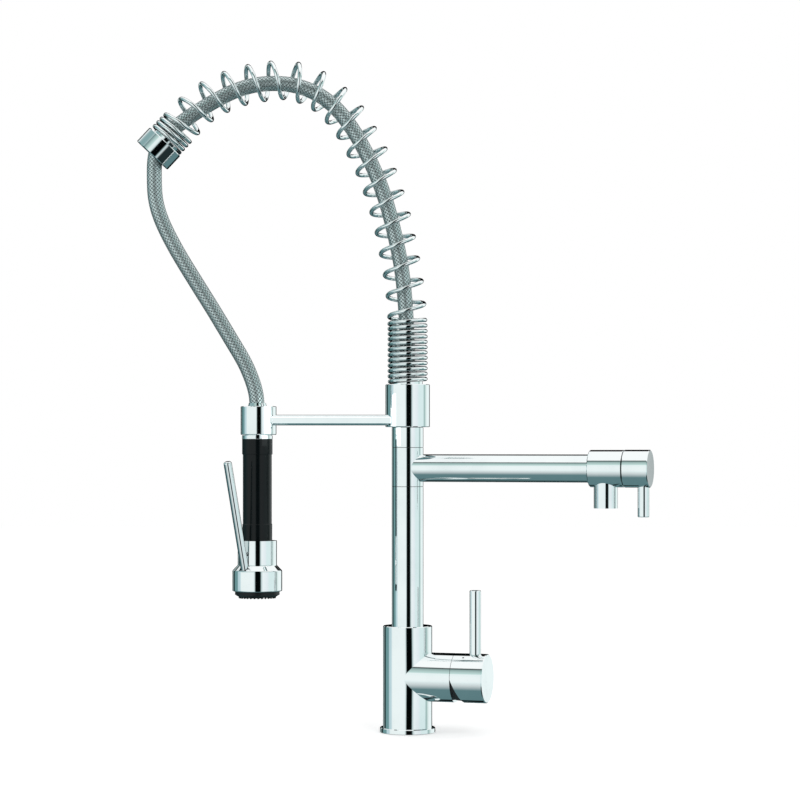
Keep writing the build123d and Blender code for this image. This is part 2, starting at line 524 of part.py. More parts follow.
# ================================================================ mixer body
inlet_top = SHANK_DEPTH + INLET_DEPTH
with BuildPart() as mixer_body:
    turn(column_plane, [
        (0, 0), (0, SPIGOT_RADIUS), (FLANGE_HEIGHT, SPIGOT_RADIUS), (FLANGE_HEIGHT, BODY_RADIUS),
        (BODY_TOP - BODY_EDGE, BODY_RADIUS), (BODY_TOP, BODY_RADIUS - BODY_EDGE), (BODY_TOP, 0),
    ])
    rod(mixer_plane, 0, BRANCH_REACH, BRANCH_RADIUS)
    # The shank's socket, the column's socket and the cartridge's bore.
    rod(column_plane, 0, SHANK_DEPTH, SHANK_RADIUS, Mode.SUBTRACT)
    rod(column_plane, BODY_TOP - COLUMN_SOCKET_DEPTH, BODY_TOP, COLUMN_RADIUS + PRESS_FIT, Mode.SUBTRACT)
    rod(mixer_plane, BRANCH_BORE_FLOOR, BRANCH_REACH, BRANCH_BORE, Mode.SUBTRACT)
    # Hot and cold water rise from the two inlets, and cross to the cartridge's floor.
    for side in (-1, 1):
        inlet = Plane(origin=MIXER_ACROSS * (side * INLET_OFFSET), x_dir=UP, z_dir=(0, 1, 0))
        rod(inlet, SHANK_DEPTH, inlet_top, INLET_RADIUS, Mode.SUBTRACT)
        rod(inlet, inlet_top, MIXER_AXIS_HEIGHT, WATERWAY_RADIUS, Mode.SUBTRACT)
        crossing = pin_plane(on_axis(mixer_plane, 0, side * INLET_OFFSET), MIXER_DIRECTION)
        rod(crossing, 0, BRANCH_BORE_FLOOR, WATERWAY_RADIUS, Mode.SUBTRACT)
    # Mixed water comes back above them, and rises into the column.
    mixed = pin_plane(on_axis(mixer_plane, 0, 0, MIXED_PORT_HEIGHT), MIXER_DIRECTION)
    rod(mixed, 0, BRANCH_BORE_FLOOR, MIXED_WATERWAY_RADIUS, Mode.SUBTRACT)
    rod(column_plane, MIXER_AXIS_HEIGHT + MIXED_PORT_HEIGHT, BODY_TOP, RISER_RADIUS, Mode.SUBTRACT)
save(mixer_body, "mixer_body")


def cartridge_ports(start, end):
    """Cut the cartridge's three ports between two distances along the mixer's axis."""
    for aside, above, radius in (
        (-INLET_OFFSET, 0, WATERWAY_RADIUS),
        (INLET_OFFSET, 0, WATERWAY_RADIUS),
        (0, MIXED_PORT_HEIGHT, MIXED_WATERWAY_RADIUS),
    ):
        port = pin_plane(on_axis(mixer_plane, 0, aside, above), MIXER_DIRECTION)
        rod(port, start, end, radius, Mode.SUBTRACT)


# ================================================================ cartridge
housing_start = BRANCH_BORE_FLOOR + CARTRIDGE_SEAL_THICKNESS
housing_floor = housing_start + CARTRIDGE_FLOOR
housing_end = housing_start + CARTRIDGE_LENGTH
fixed_disc_end = housing_floor + FIXED_DISC_THICKNESS
moving_disc_end = fixed_disc_end + MOVING_DISC_THICKNESS
ball_reach = TILT_PIVOT_REACH - SPINDLE_BALL_REACH
nut_end = housing_end + NUT_LENGTH
disc_travel = SPINDLE_BALL_REACH * radians(TILT_RANGE)

with BuildPart() as cartridge_seal:
    rod(mixer_plane, BRANCH_BORE_FLOOR, housing_start, BRANCH_BORE - PRESS_FIT)
    cartridge_ports(BRANCH_BORE_FLOOR, housing_start)
save(cartridge_seal, "cartridge_seal")

with BuildPart() as cartridge_housing:
    rod(mixer_plane, housing_start, housing_end, BRANCH_BORE - PRESS_FIT)
    rod(mixer_plane, housing_floor, housing_end, CARTRIDGE_CAVITY, Mode.SUBTRACT)
    cartridge_ports(housing_start, housing_floor)
save(cartridge_housing, "cartridge_housing")

with BuildPart() as fixed_ceramic_disc:
    rod(mixer_plane, housing_floor, fixed_disc_end, CARTRIDGE_CAVITY - PRESS_FIT)
    cartridge_ports(housing_floor, fixed_disc_end)
save(fixed_ceramic_disc, "fixed_ceramic_disc")

with BuildPart() as moving_ceramic_disc:
    rod(mixer_plane, fixed_disc_end, moving_disc_end, MOVING_DISC_RADIUS)
    # The ball of the spindle works in this pocket.
    rod(mixer_plane, ball_reach - SPINDLE_BALL_RADIUS - LOOSE_GAP, moving_disc_end,
        SPINDLE_BALL_RADIUS + LOOSE_GAP, Mode.SUBTRACT)
save(moving_ceramic_disc, "moving_ceramic_disc")

rotor_start = moving_disc_end + ROTOR_GAP
ear_inner = SPINDLE_RADIUS + LOOSE_GAP
ear_outer = ear_inner + EAR_THICKNESS
ear_end = TILT_PIVOT_REACH + EAR_REACH
swing = disc_travel * (TILT_PIVOT_REACH - rotor_start) / SPINDLE_BALL_REACH
with BuildPart() as cartridge_rotor:
    rod(mixer_plane, rotor_start, housing_end, CARTRIDGE_CAVITY - SLIDE_FIT)
    rod(mixer_plane, housing_end, BRANCH_REACH, ROTOR_NECK_RADIUS)
    with BuildSketch(mixer_plane.offset(-ear_outer)):
        with Locations(((nut_end + ear_end) / 2, 0)):
            Rectangle(ear_end - nut_end, 2 * EAR_HALF_HEIGHT)
    extrude(amount=2 * ear_outer)
    # The slot that the spindle swings in, from one face to the other.
    slot_low = -SPINDLE_RADIUS - LOOSE_GAP
    slot_high = SPINDLE_RADIUS + LOOSE_GAP + swing
    with BuildSketch(mixer_plane.offset(-ear_inner)):
        with Locations(((rotor_start + ear_end) / 2, (slot_low + slot_high) / 2)):
            Rectangle(ear_end - rotor_start, slot_high - slot_low)
    extrude(amount=2 * ear_inner, mode=Mode.SUBTRACT)
    tilt_axis = pin_plane(on_axis(mixer_plane, TILT_PIVOT_REACH), MIXER_ACROSS)
    rod(tilt_axis, -ear_outer, ear_outer, TILT_PIN_RADIUS + PRESS_FIT, Mode.SUBTRACT)
save(cartridge_rotor, "cartridge_rotor")

with BuildPart() as tilt_pin:
    rod(tilt_axis, -ear_outer, ear_outer, TILT_PIN_RADIUS)
save(tilt_pin, "tilt_pin")

with BuildPart() as cartridge_nut:
    sleeve(mixer_plane, housing_end, nut_end, BRANCH_BORE - PRESS_FIT, ROTOR_NECK_RADIUS + LOOSE_GAP)
save(cartridge_nut, "cartridge_nut")


def sphere_radius_at(along, radius):
    """Return a dome's section radius at a distance along the mixer's axis."""
    return sqrt(radius ** 2 - (along - TILT_PIVOT_REACH) ** 2)


dome_inner = DOME_RADIUS - DOME_WALL
dome_base_end = BRANCH_REACH + DOME_WALL
skirt_inner = BRANCH_BORE - PRESS_FIT - DOME_WALL
with BuildPart() as cartridge_cover:
    with BuildSketch(mixer_plane) as dome_profile:
        with BuildLine():
            Polyline(
                (dome_base_end, sphere_radius_at(dome_base_end, dome_inner)),
                (dome_base_end, skirt_inner), (nut_end, skirt_inner),
                (nut_end, BRANCH_BORE - PRESS_FIT), (BRANCH_REACH, BRANCH_BORE - PRESS_FIT),
                (BRANCH_REACH, sphere_radius_at(BRANCH_REACH, DOME_RADIUS)),
            )
            ThreePointArc(
                (BRANCH_REACH, sphere_radius_at(BRANCH_REACH, DOME_RADIUS)),
                (TILT_PIVOT_REACH, DOME_RADIUS),
                (DOME_END_REACH, sphere_radius_at(DOME_END_REACH, DOME_RADIUS)),
            )
            Line(
                (DOME_END_REACH, sphere_radius_at(DOME_END_REACH, DOME_RADIUS)),
                (DOME_END_REACH, sphere_radius_at(DOME_END_REACH, dome_inner)),
            )
            ThreePointArc(
                (DOME_END_REACH, sphere_radius_at(DOME_END_REACH, dome_inner)),
                (TILT_PIVOT_REACH, dome_inner),
                (dome_base_end, sphere_radius_at(dome_base_end, dome_inner)),
            )
        make_face()
    revolve(profiles=dome_profile.sketch, axis=Axis(mixer_plane.origin, mixer_plane.x_dir))
save(cartridge_cover, "cartridge_cover")

# ================================================================ mixer handle
spindle_start = TILT_PIVOT_REACH - SPINDLE_EYE_LENGTH
tail_start = ball_reach + sqrt(SPINDLE_BALL_RADIUS ** 2 - SPINDLE_TAIL_RADIUS ** 2)
with BuildPart() as handle_spindle:
    with BuildSketch(mixer_plane) as spindle_profile:
        with BuildLine():
            ThreePointArc((ball_reach - SPINDLE_BALL_RADIUS, 0), (ball_reach, SPINDLE_BALL_RADIUS),
                          (tail_start, SPINDLE_TAIL_RADIUS))
            Polyline((tail_start, SPINDLE_TAIL_RADIUS), (spindle_start, SPINDLE_TAIL_RADIUS),
                     (spindle_start, SPINDLE_RADIUS), (SPINDLE_END_REACH, SPINDLE_RADIUS),
                     (SPINDLE_END_REACH, 0), (ball_reach - SPINDLE_BALL_RADIUS, 0))
        make_face()
    revolve(profiles=spindle_profile.sketch, axis=Axis(mixer_plane.origin, mixer_plane.x_dir))
    rod(tilt_axis, -ear_outer, ear_outer, TILT_PIN_RADIUS + SLIDE_FIT, Mode.SUBTRACT)
save(handle_spindle, "handle_spindle")

cap_start = BRANCH_REACH + CAP_SEAM
cap_cavity_end = CAP_END_REACH - CAP_END_WALL
cap_cavity_radius = BRANCH_RADIUS - CAP_WALL
cap_lever_plane = Plane(origin=on_axis(mixer_plane, LEVER_REACH), x_dir=UP, z_dir=MIXER_ACROSS)
dot_direction = UP * cos(radians(INDEX_DOT_ANGLE)) - MIXER_ACROSS * sin(radians(INDEX_DOT_ANGLE))
dot_plane = Plane(origin=on_axis(mixer_plane, INDEX_DOT_REACH), x_dir=dot_direction, z_dir=MIXER_DIRECTION)
with BuildPart() as handle_cap:
    turn(mixer_plane, [
        (cap_start, cap_cavity_radius), (cap_start, BRANCH_RADIUS),
        (CAP_END_REACH - CAP_EDGE, BRANCH_RADIUS), (CAP_END_REACH, BRANCH_RADIUS - CAP_EDGE),
        (CAP_END_REACH, 0), (cap_cavity_end, 0), (cap_cavity_end, cap_cavity_radius),
    ])
    rod(mixer_plane, cap_cavity_end - CAP_BOSS_LENGTH, cap_cavity_end, CAP_BOSS_RADIUS)
    rod(cap_lever_plane, 0, cap_cavity_radius + CAP_WALL / 2, LEVER_RADIUS + CAP_WALL)
    rod(mixer_plane, TILT_PIVOT_REACH, SPINDLE_END_REACH, SPINDLE_RADIUS + PRESS_FIT, Mode.SUBTRACT)
    rod(cap_lever_plane, SPINDLE_RADIUS, LEVER_SEAT, LEVER_STUD_RADIUS + PRESS_FIT, Mode.SUBTRACT)
    rod(cap_lever_plane, LEVER_SEAT, BRANCH_RADIUS + OVERCUT, LEVER_RADIUS + PRESS_FIT, Mode.SUBTRACT)
    rod(dot_plane, BRANCH_RADIUS - INDEX_DOT_DEPTH, BRANCH_RADIUS + OVERCUT, INDEX_DOT_RADIUS + PRESS_FIT,
        Mode.SUBTRACT)
    # The slanted cut under the cap lets the handle tilt.
    relief_drop = BRANCH_RADIUS + OVERCUT
    with BuildSketch(mixer_plane.offset(-relief_drop)):
        with BuildLine():
            Polyline(
                (cap_start - OVERCUT, 0), (cap_start, 0),
                (cap_start + relief_drop * tan(radians(CAP_RELIEF_ANGLE)), -relief_drop),
                (cap_start - OVERCUT, -relief_drop), close=True,
            )
        make_face()
    extrude(amount=2 * relief_drop, mode=Mode.SUBTRACT)
save(handle_cap, "handle_cap")

with BuildPart() as handle_lever:
    turn(cap_lever_plane, [
        (SPINDLE_RADIUS + LOOSE_GAP, 0), (SPINDLE_RADIUS + LOOSE_GAP, LEVER_STUD_RADIUS),
        (LEVER_SEAT, LEVER_STUD_RADIUS), (LEVER_SEAT, LEVER_RADIUS),
        (LEVER_RISE - LEVER_EDGE, LEVER_RADIUS), (LEVER_RISE, LEVER_RADIUS - LEVER_EDGE), (LEVER_RISE, 0),
    ])
save(handle_lever, "handle_lever")

with BuildPart() as index_dot:
    rod(dot_plane, BRANCH_RADIUS - INDEX_DOT_DEPTH, BRANCH_RADIUS - INDEX_DOT_DEPTH / 4, INDEX_DOT_RADIUS)
save(index_dot, "index_dot")

# ================================================================ column
lower_column_top = LOWER_SEAM - WASHER_THICKNESS / 2
hub_bottom = LOWER_SEAM + WASHER_THICKNESS / 2
hub_top = UPPER_SEAM - WASHER_THICKNESS / 2
upper_column_bottom = UPPER_SEAM + WASHER_THICKNESS / 2
column_shoulder = COLLAR_BOTTOM - COLLAR_WASHER_THICKNESS
column_bore = COLUMN_RADIUS - COLUMN_WALL

with BuildPart() as lower_column:
    sleeve(column_plane, BODY_TOP - COLUMN_SOCKET_DEPTH, lower_column_top, COLUMN_RADIUS, column_bore)
save(lower_column, "lower_column")

with BuildPart() as column_core:
    rod(column_plane, lower_column_top - CORE_PLUG_LENGTH, lower_column_top, column_bore - PRESS_FIT)
    rod(column_plane, lower_column_top, CORE_TOP, CORE_RADIUS)
    rod(column_plane, lower_column_top - CORE_PLUG_LENGTH, CORE_TOP, CORE_BORE, Mode.SUBTRACT)
    for height in CORE_O_RING_HEIGHTS:
        sleeve(column_plane, height - O_RING_SECTION, height + O_RING_SECTION, CORE_RADIUS + OVERCUT,
               CORE_RADIUS - 2 * O_RING_SECTION, Mode.SUBTRACT)
    for number in range(CORE_PORT_COUNT):
        direction = Vector(1, 0, 0).rotate(Axis.Z, 45 + number * 360 / CORE_PORT_COUNT)
        port = pin_plane((0, 0, SPOUT_AXIS_HEIGHT), direction)
        rod(port, 0, CORE_RADIUS + OVERCUT, CORE_PORT_RADIUS, Mode.SUBTRACT)
save(column_core, "column_core")


def o_ring(height, outer):
    """Add a rubber ring about the column's axis, with its outer radius."""
    with BuildSketch(column_plane) as section:
        with Locations((height, outer - O_RING_SECTION)):
            Circle(O_RING_SECTION)
    revolve(profiles=section.sketch, axis=Axis.Z)


with BuildPart() as column_o_rings:
    for height in CORE_O_RING_HEIGHTS:
        o_ring(height, CORE_RADIUS)
save(column_o_rings, "column_o_rings")

with BuildPart() as spout_slip_washers:
    for bottom in (lower_column_top, hub_top):
        sleeve(column_plane, bottom, bottom + WASHER_THICKNESS, COLUMN_RADIUS - LOOSE_GAP,
               CORE_RADIUS + SLIDE_FIT)
save(spout_slip_washers, "spout_slip_washers")

with BuildPart() as upper_column:
    turn(column_plane, [
        (upper_column_bottom, CORE_RADIUS + PRESS_FIT), (upper_column_bottom, COLUMN_RADIUS),
        (column_shoulder, COLUMN_RADIUS), (column_shoulder, COLLAR_SPIGOT_RADIUS),
        (SPIGOT_TOP, COLLAR_SPIGOT_RADIUS), (SPIGOT_TOP, COLLAR_SPIGOT_BORE),
        (CORE_TOP, COLLAR_SPIGOT_BORE), (CORE_TOP, CORE_RADIUS + PRESS_FIT),
    ])
    sleeve(column_plane, RETAINER_HEIGHT, RETAINER_HEIGHT + RETAINER_THICKNESS,
           COLLAR_SPIGOT_RADIUS + OVERCUT, COLLAR_SPIGOT_RADIUS - RETAINER_DEPTH, Mode.SUBTRACT)
save(upper_column, "upper_column")

with BuildPart() as collar_slip_washer:
    sleeve(column_plane, column_shoulder, COLLAR_BOTTOM, COLUMN_RADIUS - LOOSE_GAP,
           COLLAR_SPIGOT_RADIUS + SLIDE_FIT)
save(collar_slip_washer, "collar_slip_washer")

with BuildPart() as retaining_ring:
    sleeve(column_plane, RETAINER_HEIGHT, RETAINER_HEIGHT + RETAINER_THICKNESS, RETAINER_OUTER,
           COLLAR_SPIGOT_RADIUS - RETAINER_DEPTH)
save(retaining_ring, "retaining_ring")

# ================================================================ spout
spout_bore = SPOUT_RADIUS - SPOUT_WALL
hub_spigot_end = COLUMN_RADIUS + HUB_SPIGOT_LENGTH
tube_end = HEAD_START + SPOUT_INSERTION
with BuildPart() as spout_hub:
    rod(column_plane, hub_bottom, hub_top, COLUMN_RADIUS)
    rod(spout_plane, 0, hub_spigot_end, spout_bore - PRESS_FIT)
    rod(column_plane, hub_bottom, hub_top, CORE_RADIUS + SLIDE_FIT, Mode.SUBTRACT)
    rod(column_plane, SPOUT_AXIS_HEIGHT - HUB_CHAMBER_HALF_HEIGHT,
        SPOUT_AXIS_HEIGHT + HUB_CHAMBER_HALF_HEIGHT, HUB_CHAMBER_RADIUS, Mode.SUBTRACT)
    rod(spout_plane, CORE_RADIUS, hub_spigot_end, HUB_SPIGOT_BORE, Mode.SUBTRACT)
save(spout_hub, "spout_hub")

with BuildPart() as spout_tube:
    sleeve(spout_plane, 0, tube_end, SPOUT_RADIUS, spout_bore)
    # The tube's near end is coped to the hub.
    rod(column_plane, hub_bottom, hub_top, COLUMN_RADIUS, Mode.SUBTRACT)
save(spout_tube, "spout_tube")

cavity_start = tube_end + HEAD_SEAT_WALL
nozzle_plane = Plane(origin=on_axis(spout_plane, NOZZLE_REACH), x_dir=-UP, z_dir=SPOUT_ACROSS)
with BuildPart() as spout_valve_body:
    turn(spout_plane, [
        (HEAD_START, 0), (HEAD_START, HEAD_RADIUS - HEAD_EDGE), (HEAD_START + HEAD_EDGE, HEAD_RADIUS),
        (HEAD_SEAM - HEAD_EDGE / 2, HEAD_RADIUS), (HEAD_SEAM, HEAD_RADIUS - HEAD_EDGE / 2), (HEAD_SEAM, 0),
    ])
    rod(spout_plane, HEAD_START, tube_end, SPOUT_RADIUS + PRESS_FIT, Mode.SUBTRACT)
    rod(spout_plane, tube_end, cavity_start, HEAD_SEAT_RADIUS, Mode.SUBTRACT)
    rod(spout_plane, cavity_start, HEAD_SEAM, HEAD_CAVITY_RADIUS, Mode.SUBTRACT)
    rod(nozzle_plane, NOZZLE_SPIGOT_TOP, HEAD_RADIUS + OVERCUT, NOZZLE_SPIGOT_RADIUS + PRESS_FIT,
        Mode.SUBTRACT)
    rod(nozzle_plane, 0, NOZZLE_SPIGOT_TOP, NOZZLE_BORE, Mode.SUBTRACT)
save(spout_valve_body, "spout_valve_body")

aerator_top = NOZZLE_DROP - AERATOR_RECESS - AERATOR_LENGTH
washer_top = aerator_top - AERATOR_WASHER_THICKNESS
with BuildPart() as outlet_nozzle:
    rod(nozzle_plane, NOZZLE_SPIGOT_TOP, NOZZLE_DROP, NOZZLE_RADIUS)
    # Above the valve body's skin only the spigot is left.
    rod(spout_plane, HEAD_START, HEAD_SEAM, HEAD_RADIUS, Mode.SUBTRACT)
    rod(nozzle_plane, NOZZLE_SPIGOT_TOP, washer_top, NOZZLE_SPIGOT_RADIUS)
    rod(nozzle_plane, NOZZLE_SPIGOT_TOP, NOZZLE_DROP, NOZZLE_BORE, Mode.SUBTRACT)
    rod(nozzle_plane, washer_top, NOZZLE_DROP, AERATOR_RADIUS + PRESS_FIT, Mode.SUBTRACT)
save(outlet_nozzle, "outlet_nozzle")

with BuildPart() as aerator_washer:
    sleeve(nozzle_plane, washer_top, aerator_top, AERATOR_RADIUS, NOZZLE_BORE)
save(aerator_washer, "aerator_washer")

aerator_bottom = NOZZLE_DROP - AERATOR_RECESS
aerator_cup = AERATOR_RADIUS - AERATOR_FACE
with BuildPart() as aerator:
    turn(nozzle_plane, [
        (aerator_top, 0), (aerator_top, AERATOR_RADIUS), (aerator_bottom, AERATOR_RADIUS),
        (aerator_bottom, aerator_cup), (aerator_bottom - AERATOR_FACE, aerator_cup),
        (aerator_bottom - AERATOR_FACE, 0),
    ])
    rod(nozzle_plane, aerator_top, aerator_bottom - 2 * AERATOR_FACE, aerator_cup, Mode.SUBTRACT)
    for ring in range(AERATOR_RINGS + 1):
        for number in range(max(1, 6 * ring)):
            turn_angle = number * 360 / max(1, 6 * ring)
            offset = Vector(ring * AERATOR_HOLE_PITCH, 0, 0).rotate(Axis.Z, turn_angle)
            hole = Plane(origin=nozzle_plane.origin + offset, x_dir=-UP, z_dir=SPOUT_ACROSS)
            rod(hole, aerator_bottom - 2 * AERATOR_FACE, aerator_bottom, AERATOR_HOLE_RADIUS, Mode.SUBTRACT)
save(aerator, "aerator")

# The quarter-turn cartridge: a screwed-in body with side windows, two discs and a spindle.
fixed_plate_end = cavity_start + SHUTOFF_DISC_THICKNESS
turning_plate_end = fixed_plate_end + SHUTOFF_DISC_THICKNESS
with BuildPart() as shutoff_cartridge:
    rod(spout_plane, cavity_start, SHUTOFF_NECK_START, SHUTOFF_BODY_RADIUS)
    rod(spout_plane, SHUTOFF_NECK_START, HEAD_SEAM, HEAD_CAVITY_RADIUS - PRESS_FIT)
    rod(spout_plane, cavity_start, turning_plate_end + LOOSE_GAP, SHUTOFF_BORE, Mode.SUBTRACT)
    rod(spout_plane, cavity_start, HEAD_SEAM, SHUTOFF_SPINDLE_RADIUS + SLIDE_FIT, Mode.SUBTRACT)
    with BuildSketch(spout_plane.offset(-HEAD_RADIUS)):
        with Locations((turning_plate_end - SHUTOFF_DISC_THICKNESS / 2, 0)):
            Rectangle(SHUTOFF_DISC_THICKNESS, SHUTOFF_WINDOW_WIDTH)
    extrude(amount=2 * HEAD_RADIUS, mode=Mode.SUBTRACT)
save(shutoff_cartridge, "shutoff_cartridge")

with BuildPart() as shutoff_fixed_disc:
    rod(spout_plane, cavity_start, fixed_plate_end, SHUTOFF_BORE - PRESS_FIT)
    for side in (-1, 1):
        hole = pin_plane(on_axis(spout_plane, 0, side * SHUTOFF_BORE / 2), SPOUT_DIRECTION)
        rod(hole, cavity_start, fixed_plate_end, SHUTOFF_BORE / 4, Mode.SUBTRACT)
save(shutoff_fixed_disc, "shutoff_fixed_disc")

with BuildPart() as shutoff_moving_disc:
    rod(spout_plane, fixed_plate_end, turning_plate_end, SHUTOFF_BORE - SLIDE_FIT)
    for side in (-1, 1):
        hole = pin_plane(on_axis(spout_plane, 0, 0, side * SHUTOFF_BORE / 2), SPOUT_DIRECTION)
        rod(hole, fixed_plate_end, turning_plate_end, SHUTOFF_BORE / 4, Mode.SUBTRACT)
save(shutoff_moving_disc, "shutoff_moving_disc")

with BuildPart() as shutoff_spindle:
    rod(spout_plane, turning_plate_end, SHUTOFF_SPINDLE_END, SHUTOFF_SPINDLE_RADIUS)
save(shutoff_spindle, "shutoff_spindle")

knob_start = HEAD_SEAM + SEAM_GAP
knob_pin_plane = Plane(origin=on_axis(spout_plane, KNOB_PIN_REACH), x_dir=-UP, z_dir=SPOUT_ACROSS)
with BuildPart() as valve_knob:
    turn(spout_plane, [
        (knob_start, 0), (knob_start, KNOB_RADIUS - HEAD_EDGE), (knob_start + HEAD_EDGE, KNOB_RADIUS),
        (KNOB_END - HEAD_EDGE, KNOB_RADIUS), (KNOB_END, KNOB_RADIUS - HEAD_EDGE), (KNOB_END, 0),
    ])
    sleeve(spout_plane, knob_start, knob_start + KNOB_RECESS_DEPTH, KNOB_RECESS_RADIUS, KNOB_BOSS_RADIUS,
           Mode.SUBTRACT)
    rod(spout_plane, knob_start, SHUTOFF_SPINDLE_END, SHUTOFF_SPINDLE_RADIUS + PRESS_FIT, Mode.SUBTRACT)
    rod(knob_pin_plane, SHUTOFF_SPINDLE_RADIUS, KNOB_PIN_SEAT, KNOB_STUD_RADIUS + PRESS_FIT, Mode.SUBTRACT)
    rod(knob_pin_plane, KNOB_PIN_SEAT, KNOB_RADIUS + OVERCUT, KNOB_PIN_RADIUS + PRESS_FIT, Mode.SUBTRACT)
save(valve_knob, "valve_knob")

with BuildPart() as knob_pin:
    turn(knob_pin_plane, [
        (SHUTOFF_SPINDLE_RADIUS + LOOSE_GAP, 0), (SHUTOFF_SPINDLE_RADIUS + LOOSE_GAP, KNOB_STUD_RADIUS),
        (KNOB_PIN_SEAT, KNOB_STUD_RADIUS), (KNOB_PIN_SEAT, KNOB_PIN_RADIUS),
        (KNOB_PIN_DROP - LEVER_EDGE, KNOB_PIN_RADIUS), (KNOB_PIN_DROP, KNOB_PIN_RADIUS - LEVER_EDGE),
        (KNOB_PIN_DROP, 0),
    ])
save(knob_pin, "knob_pin")

# ================================================================ swivel collar
lid_bottom = COLLAR_TOP - LID_THICKNESS
bush_top = COLLAR_BOTTOM + BUSH_LENGTH
collar_stud_plane = Plane(origin=(0, ARM_OFFSET, ARM_HEIGHT), x_dir=(-1, 0, 0), z_dir=(0, 1, 0))
with BuildPart() as swivel_collar:
    turn(column_plane, [
        (COLLAR_BOTTOM, BUSH_RADIUS + PRESS_FIT), (COLLAR_BOTTOM, COLLAR_RADIUS - COLLAR_EDGE),
        (COLLAR_BOTTOM + COLLAR_EDGE, COLLAR_RADIUS), (COLLAR_TOP - COLLAR_EDGE, COLLAR_RADIUS),
        (COLLAR_TOP, COLLAR_RADIUS - COLLAR_EDGE), (COLLAR_TOP, COLLAR_CAVITY_RADIUS),
        (bush_top, COLLAR_CAVITY_RADIUS), (bush_top, BUSH_RADIUS + PRESS_FIT),
    ])
    rod(collar_stud_plane, ARM_STUD_REACH - LOOSE_GAP, COLLAR_RADIUS, ARM_STUD_RADIUS + PRESS_FIT,
        Mode.SUBTRACT)
save(swivel_collar, "swivel_collar")

with BuildPart() as collar_bush:
    sleeve(column_plane, COLLAR_BOTTOM, bush_top, BUSH_RADIUS, COLLAR_SPIGOT_RADIUS + SLIDE_FIT)
save(collar_bush, "collar_bush")

with BuildPart() as collar_lid:
    rod(column_plane, lid_bottom, COLLAR_TOP, COLLAR_CAVITY_RADIUS - PRESS_FIT)
    rod(column_plane, COLLAR_TOP, COLLAR_TOP + LID_BOSS_HEIGHT, SPRING_BOSS_RADIUS)
    rod(column_plane, lid_bottom, COLLAR_TOP + LID_BOSS_HEIGHT, BARB_RADIUS + PRESS_FIT, Mode.SUBTRACT)
save(collar_lid, "collar_lid")

hose_start = COLLAR_TOP + LID_BOSS_HEIGHT
connector_shoulder = lid_bottom - CONNECTOR_FLANGE_HEIGHT
barrel_radius = COLLAR_SPIGOT_BORE - SLIDE_FIT
with BuildPart() as hose_connector:
    rod(column_plane, CONNECTOR_BOTTOM, connector_shoulder, barrel_radius)
    rod(column_plane, connector_shoulder, lid_bottom, CONNECTOR_FLANGE_RADIUS)
    rod(column_plane, lid_bottom, hose_start + BARB_LENGTH, BARB_RADIUS)
    rod(column_plane, CONNECTOR_BOTTOM, hose_start + BARB_LENGTH, CONNECTOR_BORE, Mode.SUBTRACT)
    sleeve(column_plane, CONNECTOR_O_RING_HEIGHT - O_RING_SECTION, CONNECTOR_O_RING_HEIGHT + O_RING_SECTION,
           barrel_radius + OVERCUT, barrel_radius - 2 * O_RING_SECTION, Mode.SUBTRACT)
save(hose_connector, "hose_connector")

with BuildPart() as connector_o_ring:
    o_ring(CONNECTOR_O_RING_HEIGHT, barrel_radius)
save(connector_o_ring, "connector_o_ring")

with BuildPart() as lower_hose_ferrule:
    sleeve(column_plane, hose_start, hose_start + LOWER_FERRULE_LENGTH, LOWER_FERRULE_RADIUS,
           HOSE_RADIUS + SLIDE_FIT)
save(lower_hose_ferrule, "lower_hose_ferrule")


# ================================================================ hoses
def corner_radii(route, name=""):
    """Return the arc radius at each corner of a route of (x, z) points, as large as its runs allow."""
    found = []
    for before, corner, after in zip(route, route[1:], route[2:]):
        arriving = Vector(corner[0] - before[0], 0, corner[1] - before[1])
        leaving = Vector(after[0] - corner[0], 0, after[1] - corner[1])
        half_turn = radians(arriving.get_angle(leaving)) / 2
        found.append(ARC_SHARE * min(arriving.length, leaving.length) / tan(half_turn))
    if name:
        print(name, "corner radii:", ", ".join(f"{value:.0f}" for value in found))
    return found


def route_points(route):
    """Return a route's (x, z) points as points in space."""
    return [(x, 0, z) for x, z in route]


def sweep_tube(line, outer, inner=0.0, mode=Mode.ADD):
    """Sweep a round section, with or without a bore, along a line."""
    with BuildSketch(Plane(origin=line @ 0, z_dir=line % 0)) as section:
        Circle(outer)
        if inner:
            Circle(inner, mode=Mode.SUBTRACT)
    sweep(sections=section.sketch, path=line, mode=mode)


def report_volume(name, part, line):
    """Print a tube's volume beside its section times its length."""
    expected = pi * (HOSE_RADIUS ** 2 - HOSE_BORE ** 2) * line.length
    print(f"{name}: length {line.length:.1f} mm, volume {part.volume:.0f}, section x length {expected:.0f}")


with BuildLine() as arch_line:
    FilletPolyline(*route_points(ARCH_HOSE_ROUTE), radius=corner_radii(ARCH_HOSE_ROUTE, "arch hose"))
with BuildPart() as arch_hose:
    sweep_tube(arch_line.wire(), HOSE_RADIUS, HOSE_BORE)
report_volume("arch hose", arch_hose.part, arch_line.wire())
save(arch_hose, "arch_hose")

with BuildLine() as hanging_line:
    FilletPolyline(
        *route_points(HANGING_HOSE_ROUTE), radius=corner_radii(HANGING_HOSE_ROUTE, "hanging hose"),
    )
with BuildPart() as hanging_hose:
    sweep_tube(hanging_line.wire(), HOSE_RADIUS, HOSE_BORE)
report_volume("hanging hose", hanging_hose.part, hanging_line.wire())
save(hanging_hose, "hanging_hose")

# ================================================================ support spring
with BuildLine() as spring_line:
    FilletPolyline(*route_points(SPRING_ROUTE), radius=corner_radii(SPRING_ROUTE))
spring_wire = spring_line.wire()
total_turns = CLOSE_TURNS + OPEN_TURNS + END_TURNS
coiled_length = spring_wire.length - 2 * (WIRE_RADIUS + SEAT_LIFT)
